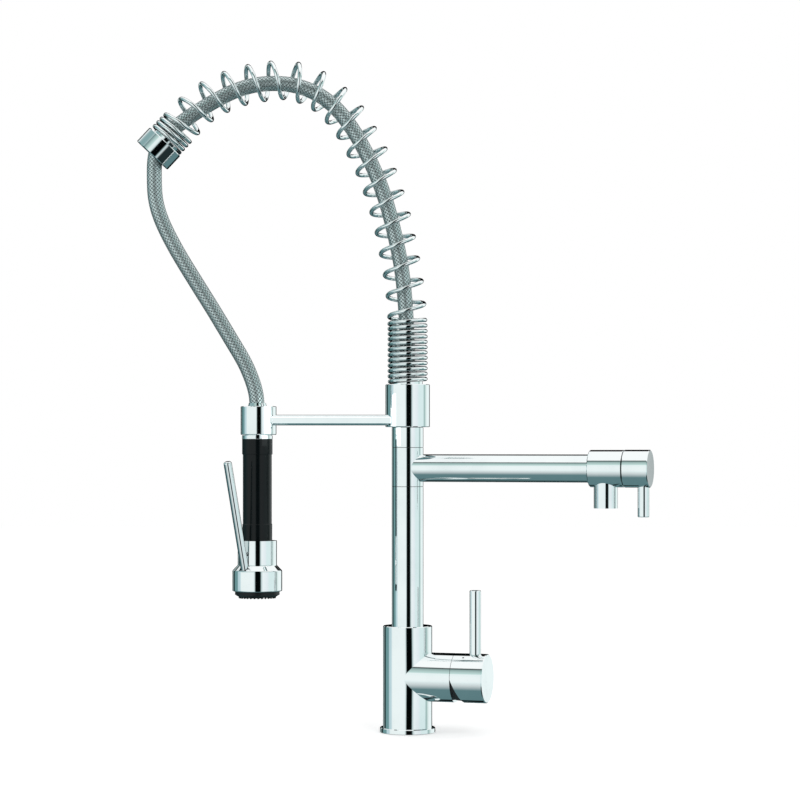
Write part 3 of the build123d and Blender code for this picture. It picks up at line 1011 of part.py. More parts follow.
# Each change of pitch is spread over the easing turns, half on either side.
open_pitch = (coiled_length - CLOSE_TURNS * CLOSE_PITCH - END_TURNS * END_PITCH) / OPEN_TURNS
pitch_changes = [
    (CLOSE_TURNS, CLOSE_PITCH, open_pitch),
    (CLOSE_TURNS + OPEN_TURNS, open_pitch, END_PITCH),
]


def climb(turns):
    """Return how far along its route the coil has climbed after a number of turns."""
    height = WIRE_RADIUS + SEAT_LIFT + CLOSE_PITCH * turns
    for centre, before, after in pitch_changes:
        start = centre - EASING_TURNS / 2
        eased = min(max(turns - start, 0), EASING_TURNS)
        height += (after - before) * (eased ** 2 / (2 * EASING_TURNS) + max(turns - start - EASING_TURNS, 0))
    return height


def coil_point(turns):
    """Return the wire's centre after a number of turns about the route."""
    along = min(max(climb(turns), 0), spring_wire.length)
    centre = spring_wire.position_at(along, position_mode=PositionMode.LENGTH)
    forward = spring_wire.tangent_at(along, position_mode=PositionMode.LENGTH)
    across = Vector(0, 1, 0)
    outward = across.cross(forward)
    angle = radians(COIL_START_ANGLE) + 2 * pi * turns
    return centre + outward * (COIL_RADIUS * cos(angle)) + across * (COIL_RADIUS * sin(angle))


def coil_tangent(turns, step=0.01):
    """Return the wire's direction after a number of turns."""
    return (coil_point(min(turns + step, total_turns)) - coil_point(max(turns - step, 0))).normalized()


def biarc_middle(start, start_tangent, end, end_tangent):
    """Return the point and direction where two tangent arcs between two points meet."""
    chord = end - start
    tangents = start_tangent + end_tangent
    spread = 2 * (1 - start_tangent.dot(end_tangent))
    reach = (sqrt(chord.dot(tangents) ** 2 + spread * chord.dot(chord)) - chord.dot(tangents)) / spread
    first_corner = start + start_tangent * reach
    second_corner = end - end_tangent * reach
    return (first_corner + second_corner) * 0.5, (second_corner - first_corner).normalized()


half_turns = int(round(2 * total_turns))
knots = [(coil_point(number / 2), coil_tangent(number / 2)) for number in range(half_turns + 1)]
first_point, first_tangent = knots[0]
last_point, last_tangent = knots[-1]
with BuildLine() as coil_line:
    Line(first_point - first_tangent * (2 * WIRE_RADIUS), first_point)
    for (start, start_tangent), (end, end_tangent) in zip(knots, knots[1:]):
        middle, middle_tangent = biarc_middle(start, start_tangent, end, end_tangent)
        TangentArc(start, middle, tangent=start_tangent)
        TangentArc(middle, end, tangent=middle_tangent)
    Line(last_point, last_point + last_tangent * (2 * WIRE_RADIUS))

samples_per_turn = 24
sample_count = int(total_turns * samples_per_turn) + 1
coil_samples = [coil_point(number / samples_per_turn) for number in range(sample_count)]
least_gap = min(
    (coil_samples[first] - coil_samples[second]).length
    for first in range(len(coil_samples))
    for second in range(first + samples_per_turn // 2, min(first + 2 * samples_per_turn, len(coil_samples)))
) - 2 * WIRE_RADIUS
print(f"support spring: {total_turns:.1f} turns, open pitch {open_pitch:.2f}, least gap {least_gap:.2f} mm")

with BuildPart() as support_spring:
    sweep_tube(coil_line.wire(), WIRE_RADIUS)
save(support_spring, "support_spring")

# ================================================================ end cap
cap_face = spring_wire @ 1
cap_direction = spring_wire % 1
cap_plane = Plane(origin=cap_face, x_dir=cap_direction, z_dir=(0, 1, 0))
cap_hole_route = ARCH_HOSE_ROUTE[-6:]
with BuildLine() as cap_hole_line:
    FilletPolyline(*route_points(cap_hole_route), radius=corner_radii(cap_hole_route))
with BuildPart() as spring_end_cap:
    turn(cap_plane, [
        (0, 0), (0, END_CAP_RADIUS - END_CAP_EDGE), (END_CAP_EDGE, END_CAP_RADIUS),
        (END_CAP_LENGTH - END_CAP_EDGE, END_CAP_RADIUS), (END_CAP_LENGTH, END_CAP_RADIUS - END_CAP_EDGE),
        (END_CAP_LENGTH, 0),
    ])
    rod(cap_plane, -END_CAP_BOSS_HEIGHT, 0, SPRING_BOSS_RADIUS)
    sweep_tube(cap_hole_line.wire(), HOSE_RADIUS + END_CAP_HOLE_MARGIN, mode=Mode.SUBTRACT)
save(spring_end_cap, "spring_end_cap")

# ================================================================ arm and holder ring
arm_plane = Plane(origin=(0, ARM_OFFSET, ARM_HEIGHT), x_dir=(-1, 0, 0), z_dir=(0, 1, 0))
arm_end = -SPRAY_X - ARM_SETBACK
nub_end = arm_end + ARM_NUB_LENGTH
with BuildPart() as holder_arm:
    turn(arm_plane, [
        (0, 0), (0, ARM_RADIUS), (arm_end - ARM_EDGE, ARM_RADIUS), (arm_end, ARM_RADIUS - ARM_EDGE),
        (arm_end, 0),
    ])
    # The rod is coped to the collar, and its stud screws into the collar's wall.
    rod(column_plane, COLLAR_BOTTOM, COLLAR_TOP, COLLAR_RADIUS, Mode.SUBTRACT)
    rod(arm_plane, ARM_STUD_REACH, COLLAR_RADIUS + ARM_RADIUS, ARM_STUD_RADIUS)
    rod(arm_plane, arm_end - ARM_RADIUS, nub_end, ARM_NUB_RADIUS)
save(holder_arm, "holder_arm")

with BuildPart() as holder_ring:
    turn(ring_plane, [
        (RING_BOTTOM, 0), (RING_BOTTOM, RING_RADIUS - RING_EDGE), (RING_BOTTOM + RING_EDGE, RING_RADIUS),
        (RING_TOP - RING_EDGE, RING_RADIUS), (RING_TOP, RING_RADIUS - RING_EDGE), (RING_TOP, 0),
    ])
    rod(spray_plane, RING_BOTTOM, RING_TOP, LINER_RADIUS + PRESS_FIT, Mode.SUBTRACT)
    rod(arm_plane, arm_end - ARM_RADIUS, arm_end, ARM_RADIUS + PRESS_FIT, Mode.SUBTRACT)
    rod(arm_plane, arm_end, nub_end, ARM_NUB_RADIUS + PRESS_FIT, Mode.SUBTRACT)
save(holder_ring, "holder_ring")

with BuildPart() as holder_liner:
    sleeve(spray_plane, RING_BOTTOM + LINER_RECESS, RING_TOP - LINER_RECESS, LINER_RADIUS,
           NECK_RADIUS + SLIDE_FIT)
save(holder_liner, "holder_liner")

# ================================================================ spray neck and grip
ferrule_bore = HOSE_RADIUS + FERRULE_HOSE_GAP
with BuildPart() as hose_ferrule:
    turn(spray_plane, [
        (FERRULE_BOTTOM, HOSE_BORE), (FERRULE_BOTTOM, FERRULE_RADIUS), (FERRULE_SHOULDER, FERRULE_RADIUS),
        (FERRULE_TOP, FERRULE_TOP_RADIUS), (FERRULE_TOP, ferrule_bore),
        (FERRULE_BOTTOM + FERRULE_FLOOR, ferrule_bore), (FERRULE_BOTTOM + FERRULE_FLOOR, HOSE_BORE),
    ])
save(hose_ferrule, "hose_ferrule")

with BuildPart() as docking_neck:
    turn(spray_plane, [
        (CHROME_RING_BOTTOM, 0), (CHROME_RING_BOTTOM, CHROME_RING_RADIUS - CHROME_RING_EDGE),
        (CHROME_RING_BOTTOM + CHROME_RING_EDGE, CHROME_RING_RADIUS),
        (CHROME_RING_TOP - CHROME_RING_EDGE, CHROME_RING_RADIUS),
        (CHROME_RING_TOP, CHROME_RING_RADIUS - CHROME_RING_EDGE), (CHROME_RING_TOP, NECK_RADIUS),
        (NECK_TOP, NECK_RADIUS), (NECK_TOP, 0),
    ])
    rod(spray_plane, CHROME_RING_BOTTOM, GRIP_TUBE_TOP, GRIP_TUBE_RADIUS + PRESS_FIT, Mode.SUBTRACT)
    rod(spray_plane, GRIP_TUBE_TOP, FERRULE_BOTTOM, CHECK_VALVE_RADIUS + PRESS_FIT, Mode.SUBTRACT)
    rod(spray_plane, FERRULE_BOTTOM, NECK_TOP, FERRULE_RADIUS + PRESS_FIT, Mode.SUBTRACT)
save(docking_neck, "docking_neck")

check_valve_middle = (GRIP_TUBE_TOP + FERRULE_BOTTOM) / 2
with BuildPart() as check_valve:
    sleeve(spray_plane, GRIP_TUBE_TOP, FERRULE_BOTTOM, CHECK_VALVE_RADIUS, CHECK_VALVE_BORE)
    # Spokes hold the flap that lets water pass one way only.
    sleeve(spray_plane, check_valve_middle - CHECK_VALVE_SPOKE_RADIUS,
           check_valve_middle + CHECK_VALVE_SPOKE_RADIUS, CHECK_VALVE_BORE / 2, CHECK_VALVE_SPOKE_RADIUS)
    for number in range(CHECK_VALVE_SPOKES):
        spoke = Vector(1, 0, 0).rotate(Axis.Z, number * 360 / CHECK_VALVE_SPOKES)
        rod(pin_plane((SPRAY_X, 0, check_valve_middle), spoke), 2 * CHECK_VALVE_SPOKE_RADIUS,
            CHECK_VALVE_BORE + CHECK_VALVE_SPOKE_RADIUS, CHECK_VALVE_SPOKE_RADIUS)
save(check_valve, "check_valve")

with BuildPart() as grip_tube:
    sleeve(spray_plane, GRIP_TUBE_BOTTOM, GRIP_TUBE_TOP, GRIP_TUBE_RADIUS, GRIP_TUBE_BORE)
save(grip_tube, "grip_tube")

with BuildPart() as grip_sleeve:
    bore = GRIP_TUBE_RADIUS + PRESS_FIT
    turn(spray_plane, [
        (SPRAY_BODY_TOP, bore), (SPRAY_BODY_TOP, GRIP_LOWER_RADIUS),
        (GRIP_LOWER_BAND - GRIP_EDGE, GRIP_LOWER_RADIUS), (GRIP_LOWER_BAND, GRIP_LOWER_RADIUS - GRIP_EDGE),
        (GRIP_LOWER_BAND, GRIP_RADIUS), (GRIP_UPPER_BAND, GRIP_RADIUS),
        (GRIP_UPPER_BAND, GRIP_BAND_RADIUS - GRIP_EDGE), (GRIP_UPPER_BAND + GRIP_EDGE, GRIP_BAND_RADIUS),
        (CHROME_RING_BOTTOM, GRIP_BAND_RADIUS), (CHROME_RING_BOTTOM, bore),
    ])
save(grip_sleeve, "grip_sleeve")

# ================================================================ spray body
lever_section = Plane(origin=(SPRAY_X, 0, 0), x_dir=LEVER_OUTWARD, z_dir=LEVER_ACROSS)
lever_pivot = lever_section.from_local_coords((SPRAY_LEVER_REACH, SPRAY_LEVER_HEIGHT, 0))
lever_pin_plane = pin_plane(lever_pivot, LEVER_ACROSS)
rest_direction = UP * cos(radians(SPRAY_LEVER_TILT)) + LEVER_OUTWARD * sin(radians(SPRAY_LEVER_TILT))
rest_plane = Plane(origin=lever_pivot, x_dir=rest_direction, z_dir=LEVER_ACROSS)
squeezed_tilt = SPRAY_LEVER_TILT - SPRAY_LEVER_RANGE
lever_room = SPRAY_LEVER_RADIUS + LEVER_MARGIN


def lever_line(height, tilt, offset):
    """Return how far out a line beside the lever's axis lies at a height, for a tilt in degrees."""
    lean = radians(tilt)
    return SPRAY_LEVER_REACH + (height - SPRAY_LEVER_HEIGHT) * tan(lean) + offset / cos(lean)


def tip_reach(tilt):
    """Return where the centre of the plunger's round tip stands, just clear of the lever at a tilt."""
    return lever_line(VALVE_HEIGHT, tilt, -(SPRAY_LEVER_RADIUS + LOOSE_GAP + VALVE_STEM_RADIUS))


valve_travel = tip_reach(SPRAY_LEVER_TILT) - tip_reach(squeezed_tilt)
print(f"plunger travel {valve_travel:.3f} mm, {valve_travel / radians(SPRAY_LEVER_RANGE):.3f} mm per radian")

with BuildPart() as spray_body:
    turn(spray_plane, [
        (HEAD_BOTTOM, 0), (HEAD_BOTTOM, SPRAY_HEAD_RADIUS), (SHOULDER_BOTTOM, SPRAY_HEAD_RADIUS),
        (SHOULDER_TOP, SPRAY_BODY_RADIUS), (SPRAY_BODY_TOP, SPRAY_BODY_RADIUS), (SPRAY_BODY_TOP, 0),
    ])
    rims = spray_body.edges().filter_by(GeomType.CIRCLE).sort_by(Axis.Z)
    fillet(rims[0], SPRAY_HEAD_ROUNDING)
    shoulder_rims = spray_body.edges().filter_by(GeomType.CIRCLE).filter_by(
        lambda rim: SHOULDER_BOTTOM - LOOSE_GAP < rim.center().Z < SHOULDER_TOP + LOOSE_GAP)
    fillet(shoulder_rims, SHOULDER_ROUNDING)
    # The grip tube's socket, and the plenum below it.
    rod(spray_plane, GRIP_TUBE_BOTTOM, SPRAY_BODY_TOP, GRIP_TUBE_RADIUS + PRESS_FIT, Mode.SUBTRACT)
    rod(spray_plane, GRIP_TUBE_BOTTOM - PLENUM_DEPTH, GRIP_TUBE_BOTTOM, PLENUM_RADIUS, Mode.SUBTRACT)
    # The valve's chamber, throat and stem hole, and the way down to the head.
    rod(valve_plane, -SPRAY_HEAD_RADIUS, -VALVE_SEAT_REACH, VALVE_CHAMBER_RADIUS, Mode.SUBTRACT)
    rod(valve_plane, -VALVE_SEAT_REACH, VALVE_SEAT_REACH, VALVE_THROAT_RADIUS, Mode.SUBTRACT)
    rod(valve_plane, VALVE_SEAT_REACH, SPRAY_HEAD_RADIUS, VALVE_STEM_RADIUS + SLIDE_FIT, Mode.SUBTRACT)
    rod(spray_plane, HEAD_CHAMBER_TOP, VALVE_HEIGHT, OUTLET_BORE, Mode.SUBTRACT)
    # The head's chamber, with a ledge for the flow plate.
    rod(spray_plane, HEAD_BOTTOM, PLATE_LEDGE_HEIGHT, HEAD_CHAMBER_RADIUS, Mode.SUBTRACT)
    rod(spray_plane, PLATE_LEDGE_HEIGHT, HEAD_CHAMBER_TOP, PLATE_LEDGE_RADIUS, Mode.SUBTRACT)
    # The lever's pocket in the head and its groove up the body, wide enough for its whole swing.
    groove_top = SPRAY_BODY_TOP + OVERCUT
    pocket_inner = lever_line(SPRAY_LEVER_HEIGHT, squeezed_tilt, -lever_room)
    pocket_outer = lever_line(SPRAY_LEVER_HEIGHT, SPRAY_LEVER_TILT, lever_room)
    with BuildSketch(lever_section.offset(-lever_room)):
        with BuildLine():
            Polyline(
                (pocket_inner, LEVER_POCKET_FLOOR), (pocket_inner, SPRAY_LEVER_HEIGHT),
                (lever_line(groove_top, squeezed_tilt, -lever_room), groove_top),
                (lever_line(groove_top, SPRAY_LEVER_TILT, lever_room), groove_top),
                (pocket_outer, SPRAY_LEVER_HEIGHT), (pocket_outer, LEVER_POCKET_FLOOR), close=True,
            )
        make_face()
    extrude(amount=2 * lever_room, mode=Mode.SUBTRACT)
    rod(lever_pin_plane, -LEVER_PIN_HALF_LENGTH, LEVER_PIN_HALF_LENGTH, LEVER_PIN_RADIUS + PRESS_FIT,
        Mode.SUBTRACT)
save(spray_body, "spray_body")

# ================================================================ spray valve
seal_end = VALVE_SEAT_REACH + VALVE_SEAL_THICKNESS
head_end = seal_end + VALVE_HEAD_THICKNESS
with BuildPart() as valve_seat_plug:
    rod(valve_plane, -PLUG_FACE, -PLUG_START, VALVE_CHAMBER_RADIUS - PRESS_FIT)
    rod(valve_plane, -PLUG_SPRING_SEAT, -PLUG_START, RETURN_SPRING_RADIUS + 2 * RETURN_SPRING_WIRE,
        Mode.SUBTRACT)
    with BuildSketch(Plane(origin=on_axis(valve_plane, -PLUG_FACE), z_dir=LEVER_OUTWARD)):
        RegularPolygon(PLUG_KEY_RADIUS, 6)
    extrude(amount=PLUG_KEY_DEPTH, mode=Mode.SUBTRACT)
save(valve_seat_plug, "valve_seat_plug")

tip_centre = tip_reach(SPRAY_LEVER_TILT)
with BuildPart() as valve_plunger:
    rod(valve_plane, -head_end, tip_centre, VALVE_STEM_RADIUS)
    rod(valve_plane, -head_end, -VALVE_SEAT_REACH, VALVE_HEAD_RADIUS)
    with Locations(on_axis(valve_plane, tip_centre)):
        Sphere(VALVE_STEM_RADIUS)
save(valve_plunger, "valve_plunger")

spring_room = PLUG_SPRING_SEAT - head_end - 2 * RETURN_SPRING_WIRE
with BuildLine() as return_line:
    Helix(
        pitch=spring_room / RETURN_SPRING_TURNS, height=spring_room, radius=RETURN_SPRING_RADIUS,
        center=on_axis(valve_plane, -PLUG_SPRING_SEAT + RETURN_SPRING_WIRE), direction=LEVER_OUTWARD,
    )
print(f"return spring: least gap {spring_room / RETURN_SPRING_TURNS - 2 * RETURN_SPRING_WIRE:.2f} mm")
with BuildPart() as valve_spring:
    with BuildSketch(Plane(origin=return_line.line @ 0, z_dir=return_line.line % 0)) as return_wire:
        Circle(RETURN_SPRING_WIRE)
    sweep(sections=return_wire.sketch, path=return_line.wire(), is_frenet=True)
save(valve_spring, "valve_spring")

# ================================================================ spray lever
with BuildPart() as lever_pivot_pin:
    rod(lever_pin_plane, -LEVER_PIN_HALF_LENGTH, LEVER_PIN_HALF_LENGTH, LEVER_PIN_RADIUS)
save(lever_pivot_pin, "lever_pivot_pin")

with BuildPart() as spray_lever:
    with BuildSketch(rest_plane) as lever_profile:
        with BuildLine():
            foot = CenterArc((0, 0), SPRAY_LEVER_RADIUS, 90, 90)
            Line(foot @ 1, (SPRAY_LEVER_LENGTH, 0))
            Line((SPRAY_LEVER_LENGTH, 0), (SPRAY_LEVER_LENGTH, SPRAY_LEVER_RADIUS - SPRAY_LEVER_ROUNDING))
            tip_arc = CenterArc((SPRAY_LEVER_LENGTH - SPRAY_LEVER_ROUNDING,
                                 SPRAY_LEVER_RADIUS - SPRAY_LEVER_ROUNDING), SPRAY_LEVER_ROUNDING, 0, 90)
            Line(tip_arc @ 1, foot @ 0)
        make_face()
    revolve(profiles=lever_profile.sketch, axis=Axis(rest_plane.origin, rest_plane.x_dir))
    rod(lever_pin_plane, -SPRAY_LEVER_RADIUS, SPRAY_LEVER_RADIUS, LEVER_PIN_RADIUS + SLIDE_FIT,
        Mode.SUBTRACT)
save(spray_lever, "spray_lever")

# ================================================================ spray head
with BuildPart() as flow_plate:
    plate_bottom = PLATE_LEDGE_HEIGHT - FLOW_PLATE_THICKNESS
    rod(spray_plane, plate_bottom, PLATE_LEDGE_HEIGHT, HEAD_CHAMBER_RADIUS - PRESS_FIT)
    with BuildSketch(Plane(origin=(SPRAY_X, 0, plate_bottom))):
        with PolarLocations(FLOW_HOLE_CIRCLE, FLOW_HOLE_COUNT):
            Circle(FLOW_HOLE_RADIUS)
    extrude(amount=FLOW_PLATE_THICKNESS, mode=Mode.SUBTRACT)
save(flow_plate, "flow_plate")

with BuildPart() as spray_face:
    turn(spray_plane, [
        (FACE_BOTTOM, 0), (FACE_BOTTOM, FACE_BEVEL_RADIUS), (FACE_FLANGE_BOTTOM, FACE_FLANGE_RADIUS),
        (HEAD_BOTTOM, FACE_FLANGE_RADIUS), (HEAD_BOTTOM, HEAD_CHAMBER_RADIUS - PRESS_FIT),
        (plate_bottom, HEAD_CHAMBER_RADIUS - PRESS_FIT), (plate_bottom, FACE_CAVITY_RADIUS),
        (FACE_BOTTOM + FACE_THICKNESS, FACE_CAVITY_RADIUS), (FACE_BOTTOM + FACE_THICKNESS, 0),
    ])
    nozzle_pitch = (FACE_BEVEL_RADIUS - FACE_NOZZLE_MARGIN) / (len(FACE_NOZZLE_COUNTS) - 1)
    for ring, count in enumerate(FACE_NOZZLE_COUNTS):
        with Locations((SPRAY_X, 0, FACE_BOTTOM - FACE_NOZZLE_LENGTH)):
            with PolarLocations(ring * nozzle_pitch, count):
                Cone(FACE_NOZZLE_TIP, FACE_NOZZLE_BASE, FACE_NOZZLE_LENGTH,
                     align=(Align.CENTER, Align.CENTER, Align.MIN))
                Cylinder(FACE_NOZZLE_BORE, FACE_NOZZLE_LENGTH + FACE_THICKNESS,
                         align=(Align.CENTER, Align.CENTER, Align.MIN), mode=Mode.SUBTRACT)
save(spray_face, "spray_face")
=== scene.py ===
"""Studio scene of a tall deck-mounted kitchen faucet with a spring-guided hand spray.

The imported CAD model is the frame. Each of its pieces gets its finish here, and the two runs of hose are
woven anew. The camera, the floor, the lamps and the surround that polish reflects give the view that the
photograph shows. Lengths are metres and angles are degrees, unless a name says otherwise.
"""

import logging
from abc import ABC, abstractmethod
from dataclasses import dataclass
from enum import Enum
from functools import reduce
from math import cos, degrees, pi, radians, sin, tau
from operator import add, mul
from typing import Any, ClassVar, Mapping, Optional, Sequence, Union

import bmesh
import bpy
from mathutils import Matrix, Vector

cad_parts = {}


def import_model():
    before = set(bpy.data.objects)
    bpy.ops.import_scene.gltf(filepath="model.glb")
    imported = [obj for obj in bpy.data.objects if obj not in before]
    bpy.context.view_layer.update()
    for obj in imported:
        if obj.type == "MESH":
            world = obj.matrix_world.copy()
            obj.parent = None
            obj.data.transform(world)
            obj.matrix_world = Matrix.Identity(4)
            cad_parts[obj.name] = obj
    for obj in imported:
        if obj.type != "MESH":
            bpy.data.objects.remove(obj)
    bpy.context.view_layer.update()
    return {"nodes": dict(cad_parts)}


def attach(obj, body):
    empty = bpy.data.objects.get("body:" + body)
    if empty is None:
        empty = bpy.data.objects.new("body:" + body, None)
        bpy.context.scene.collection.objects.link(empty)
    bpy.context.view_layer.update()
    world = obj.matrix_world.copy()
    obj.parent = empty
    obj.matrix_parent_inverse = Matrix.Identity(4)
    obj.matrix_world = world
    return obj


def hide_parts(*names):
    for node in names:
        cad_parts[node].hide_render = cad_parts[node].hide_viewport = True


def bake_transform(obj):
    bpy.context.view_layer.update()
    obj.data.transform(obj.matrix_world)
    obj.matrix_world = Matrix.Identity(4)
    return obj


Colour = tuple[float, float, float]
Point = tuple[float, float, float]
Span = tuple[float, float]
AngleStops = Sequence[tuple[float, Colour]]

BLACK: Colour = (0.0, 0.0, 0.0)
WHITE: Colour = (1.0, 1.0, 1.0)
# What soft noise is on average.
NOISE_MIDDLE = 0.5
# How many rays a shader sends out to find how open its surface is, for painted shade in gaps.
SKY_RAYS = 8
# The UV map that says how far round and along its hose a place lies.
RUN_MAP = "run"
# The turn that makes a camera or a lamp look level along +Y, away from the photograph's viewer.
LEVEL_TO_THE_BACK = (radians(90.0), 0.0, 0.0)

logger = logging.getLogger("faucet_scene")


def screen(red: float, green: float, blue: float) -> Colour:
    """Turns a colour as a screen shows it into the linear one that shaders use.

    Args:
        red: Red, 0 to 255.
        green: Green, 0 to 255.
        blue: Blue, 0 to 255.

    Returns:
        The linear colour, 0 to 1.
    """

    def linear(level: float) -> float:
        """Undoes the standard screen curve, straight near black, for one channel."""
        part = level / 255.0
        return part / 12.92 if part <= 0.04045 else ((part + 0.055) / 1.055) ** 2.4

    return linear(red), linear(green), linear(blue)


def put_in_scene(name: str, data: Any) -> bpy.types.Object:
    """Makes an object and puts it in the scene.

    Args:
        name: The object's name.
        data: Its mesh, lamp or camera.

    Returns:
        The object.
    """
    thing = bpy.data.objects.new(name, data)
    bpy.context.scene.collection.objects.link(thing)
    return thing


# ---------------------------------------------------------------- shader sheets


class Value:
    """A node's output that takes part in arithmetic: each operation adds one Math node to the sheet."""

    def __init__(self, sheet: "NodeSheet", socket: bpy.types.NodeSocket) -> None:
        """Keeps the sheet that the socket belongs to, so that results land on the same sheet."""
        self.sheet = sheet
        self.socket = socket

    def __add__(self, other: "Number") -> "Value":
        """Gives self + other."""
        return self.sheet.maths("ADD", self, other)

    def __radd__(self, other: "Number") -> "Value":
        """Gives other + self."""
        return self.sheet.maths("ADD", other, self)

    def __sub__(self, other: "Number") -> "Value":
        """Gives self - other."""
        return self.sheet.maths("SUBTRACT", self, other)

    def __rsub__(self, other: "Number") -> "Value":
        """Gives other - self."""
        return self.sheet.maths("SUBTRACT", other, self)

    def __mul__(self, other: "Number") -> "Value":
        """Gives self * other."""
        return self.sheet.maths("MULTIPLY", self, other)

    def __rmul__(self, other: "Number") -> "Value":
        """Gives other * self."""
        return self.sheet.maths("MULTIPLY", other, self)

    def __abs__(self) -> "Value":
        """Gives the size of self without its sign."""
        return self.sheet.maths("ABSOLUTE", self)

    def sine(self) -> "Value":
        """Gives the sine of self, taken in radians."""
        return self.sheet.maths("SINE", self)

    def at_least(self, other: "Number") -> "Value":
        """Gives the larger of self and other."""
        return self.sheet.maths("MAXIMUM", self, other)

    def step_up(self, start: float, end: float) -> "Value":
        """Rises smoothly from 0 at start to 1 at end.

        Args:
            start: Where the rise starts.
            end: Where the rise ends.

        Returns:
            The rising value, held at 0 before the start and at 1 after the end.
        """
        return self.sheet.value(
            "ShaderNodeMapRange",
            {"interpolation_type": "SMOOTHSTEP"},
            {"Value": self, "From Min": start, "From Max": end},
        )


Number = Union[Value, float]


@dataclass(frozen=True)
class Grain:
    """What a soft noise is like.

    Attributes:
        scale: Its features per metre.
        detail: How many finer layers it has.
        roughness: How strong the finer layers are.
    """

    scale: float
    detail: float = 2.0
    roughness: float = 0.5


class NodeSheet:
    """A material's or a world's nodes, written one after the other."""

    def __init__(self, tree: bpy.types.NodeTree) -> None:
        """Empties the tree and keeps it for writing."""
        tree.nodes.clear()
        self.tree = tree

    @staticmethod
    def find(sockets: Any, key: Union[str, int]) -> bpy.types.NodeSocket:
        """Finds a node's socket.

        Args:
            sockets: The node's inputs or outputs.
            key: The socket's place, identifier or name.

        Returns:
            The socket.
        """
        if isinstance(key, int):
            return sockets[key]
        for socket in sockets:
            if socket.identifier == key:
                return socket
        return sockets[key]

    def node(
        self,
        kind: str,
        settings: Optional[Mapping[str, Any]] = None,
        inputs: Optional[Mapping[Union[str, int], Any]] = None,
    ) -> bpy.types.Node:
        """Adds one node: its settings first, then the values and links of its sockets.

        Args:
            kind: The node's type.
            settings: The node's own settings; "stops" fills a colour ramp with (place, colour) pairs.
            inputs: A Value to link, or a number or colour to set, for each socket that differs.

        Returns:
            The new node.
        """
        node = self.tree.nodes.new(kind)
        for name, setting in (settings or {}).items():
            if name == "stops":
                self.fill_ramp(node.color_ramp, setting)
            else:
                setattr(node, name, setting)
        for key, content in (inputs or {}).items():
            socket = self.find(node.inputs, key)
            if isinstance(content, Value):
                self.tree.links.new(content.socket, socket)
            elif socket.type == "RGBA":
                socket.default_value = (*content[:3], 1.0)
            else:
                socket.default_value = content
        return node

    def value(
        self,
        kind: str,
        settings: Optional[Mapping[str, Any]] = None,
        inputs: Optional[Mapping[Union[str, int], Any]] = None,
        output: Union[str, int] = 0,
    ) -> Value:
        """Adds one node and gives one of its outputs.

        Args:
            kind: The node's type.
            settings: The node's own settings.
            inputs: What its sockets hold.
            output: The output's place, identifier or name.

        Returns:
            That output.
        """
        node = self.node(kind, settings, inputs)
        return Value(self, self.find(node.outputs, output))

    def maths(self, operation: str, *terms: Number) -> Value:
        """Adds one Math node.

        Args:
            operation: The Math node's operation.
            terms: Its one or two terms.

        Returns:
            The result.
        """
        return self.value("ShaderNodeMath", {"operation": operation}, dict(enumerate(terms)))

    def mix(self, share: Number, first: Any, second: Any) -> Value:
        """Mixes two colours.

        Args:
            share: How much of the second colour shows, 0 to 1.
            first: The colour at a share of 0.
            second: The colour at a share of 1.

        Returns:
            The mixed colour.
        """
        return self.value(
            "ShaderNodeMix",
            {"data_type": "RGBA"},
            {"Factor_Float": share, "A_Color": first, "B_Color": second},
            "Result_Color",
        )

    def tinted(self, first: Any, second: Any) -> Value:
        """Multiplies one colour by another.

        Args:
            first: A colour.
            second: The colour that tints it.

        Returns:
            The tinted colour.
        """
        return self.value(
            "ShaderNodeMix",
            {"data_type": "RGBA", "blend_type": "MULTIPLY"},
            {"Factor_Float": 1.0, "A_Color": first, "B_Color": second},
            "Result_Color",
        )

    def place(self, stretch: Point = (1.0, 1.0, 1.0)) -> Value:
        """Gives the surface's own place, in metres, stretched along each axis for grain.

        Args:
            stretch: The scale along X, Y and Z.

        Returns:
            The place as a vector.
        """
        own = self.value("ShaderNodeTexCoord", output="Object")
        if stretch == (1.0, 1.0, 1.0):
            return own
        return self.value("ShaderNodeVectorMath", {"operation": "MULTIPLY"}, {0: own, 1: stretch})

    def noise(self, place: Value, grain: Grain) -> Value:
        """Adds soft noise.

        Args:
            place: The place to read it at.
            grain: What it is like.

        Returns:
            The noise, 0 to 1.
        """
        return self.value(
            "ShaderNodeTexNoise",
            {},
            {
                "Vector": place,
                "Scale": grain.scale,
                "Detail": grain.detail,
                "Roughness": grain.roughness,
            },
        )

    def openness_for_painted_shade(self, reach: float, closed: float, clear: float) -> Value:
        """Finds how open the surface is: 0 deep in a narrow gap, 1 where nothing is near.

        Args:
            reach: How far away something still closes the surface in, in metres.
            closed: The share of free sky that counts as wholly closed in.
            clear: The share of free sky that counts as wholly open.

        Returns:
            How open the surface is, 0 to 1, which painted shade follows.
        """
        kind = "ShaderNodeAmbientOcclusion"
        return self.value(kind, {"samples": SKY_RAYS}, {"Distance": reach}, "AO").step_up(closed, clear)

    def bump(self, height: Value, depth: float) -> Value:
        """Adds relief at full strength.

        Args:
            height: The relief's height, 0 to 1.
            depth: The relief's depth in metres.

        Returns:
            The bent normal.
        """
        return self.value("ShaderNodeBump", {}, {"Height": height, "Distance": depth, "Strength": 1.0})

    def ray_is(self, *kinds: str) -> Value:
        """Tells whether the ray that reads the shader is of one of these kinds.

        Args:
            kinds: The kinds, such as Camera or Glossy.

        Returns:
            1 for such a ray and 0 for any other.
        """
        path = self.node("ShaderNodeLightPath")
        return reduce(add, [Value(self, path.outputs[f"Is {kind} Ray"]) for kind in kinds])

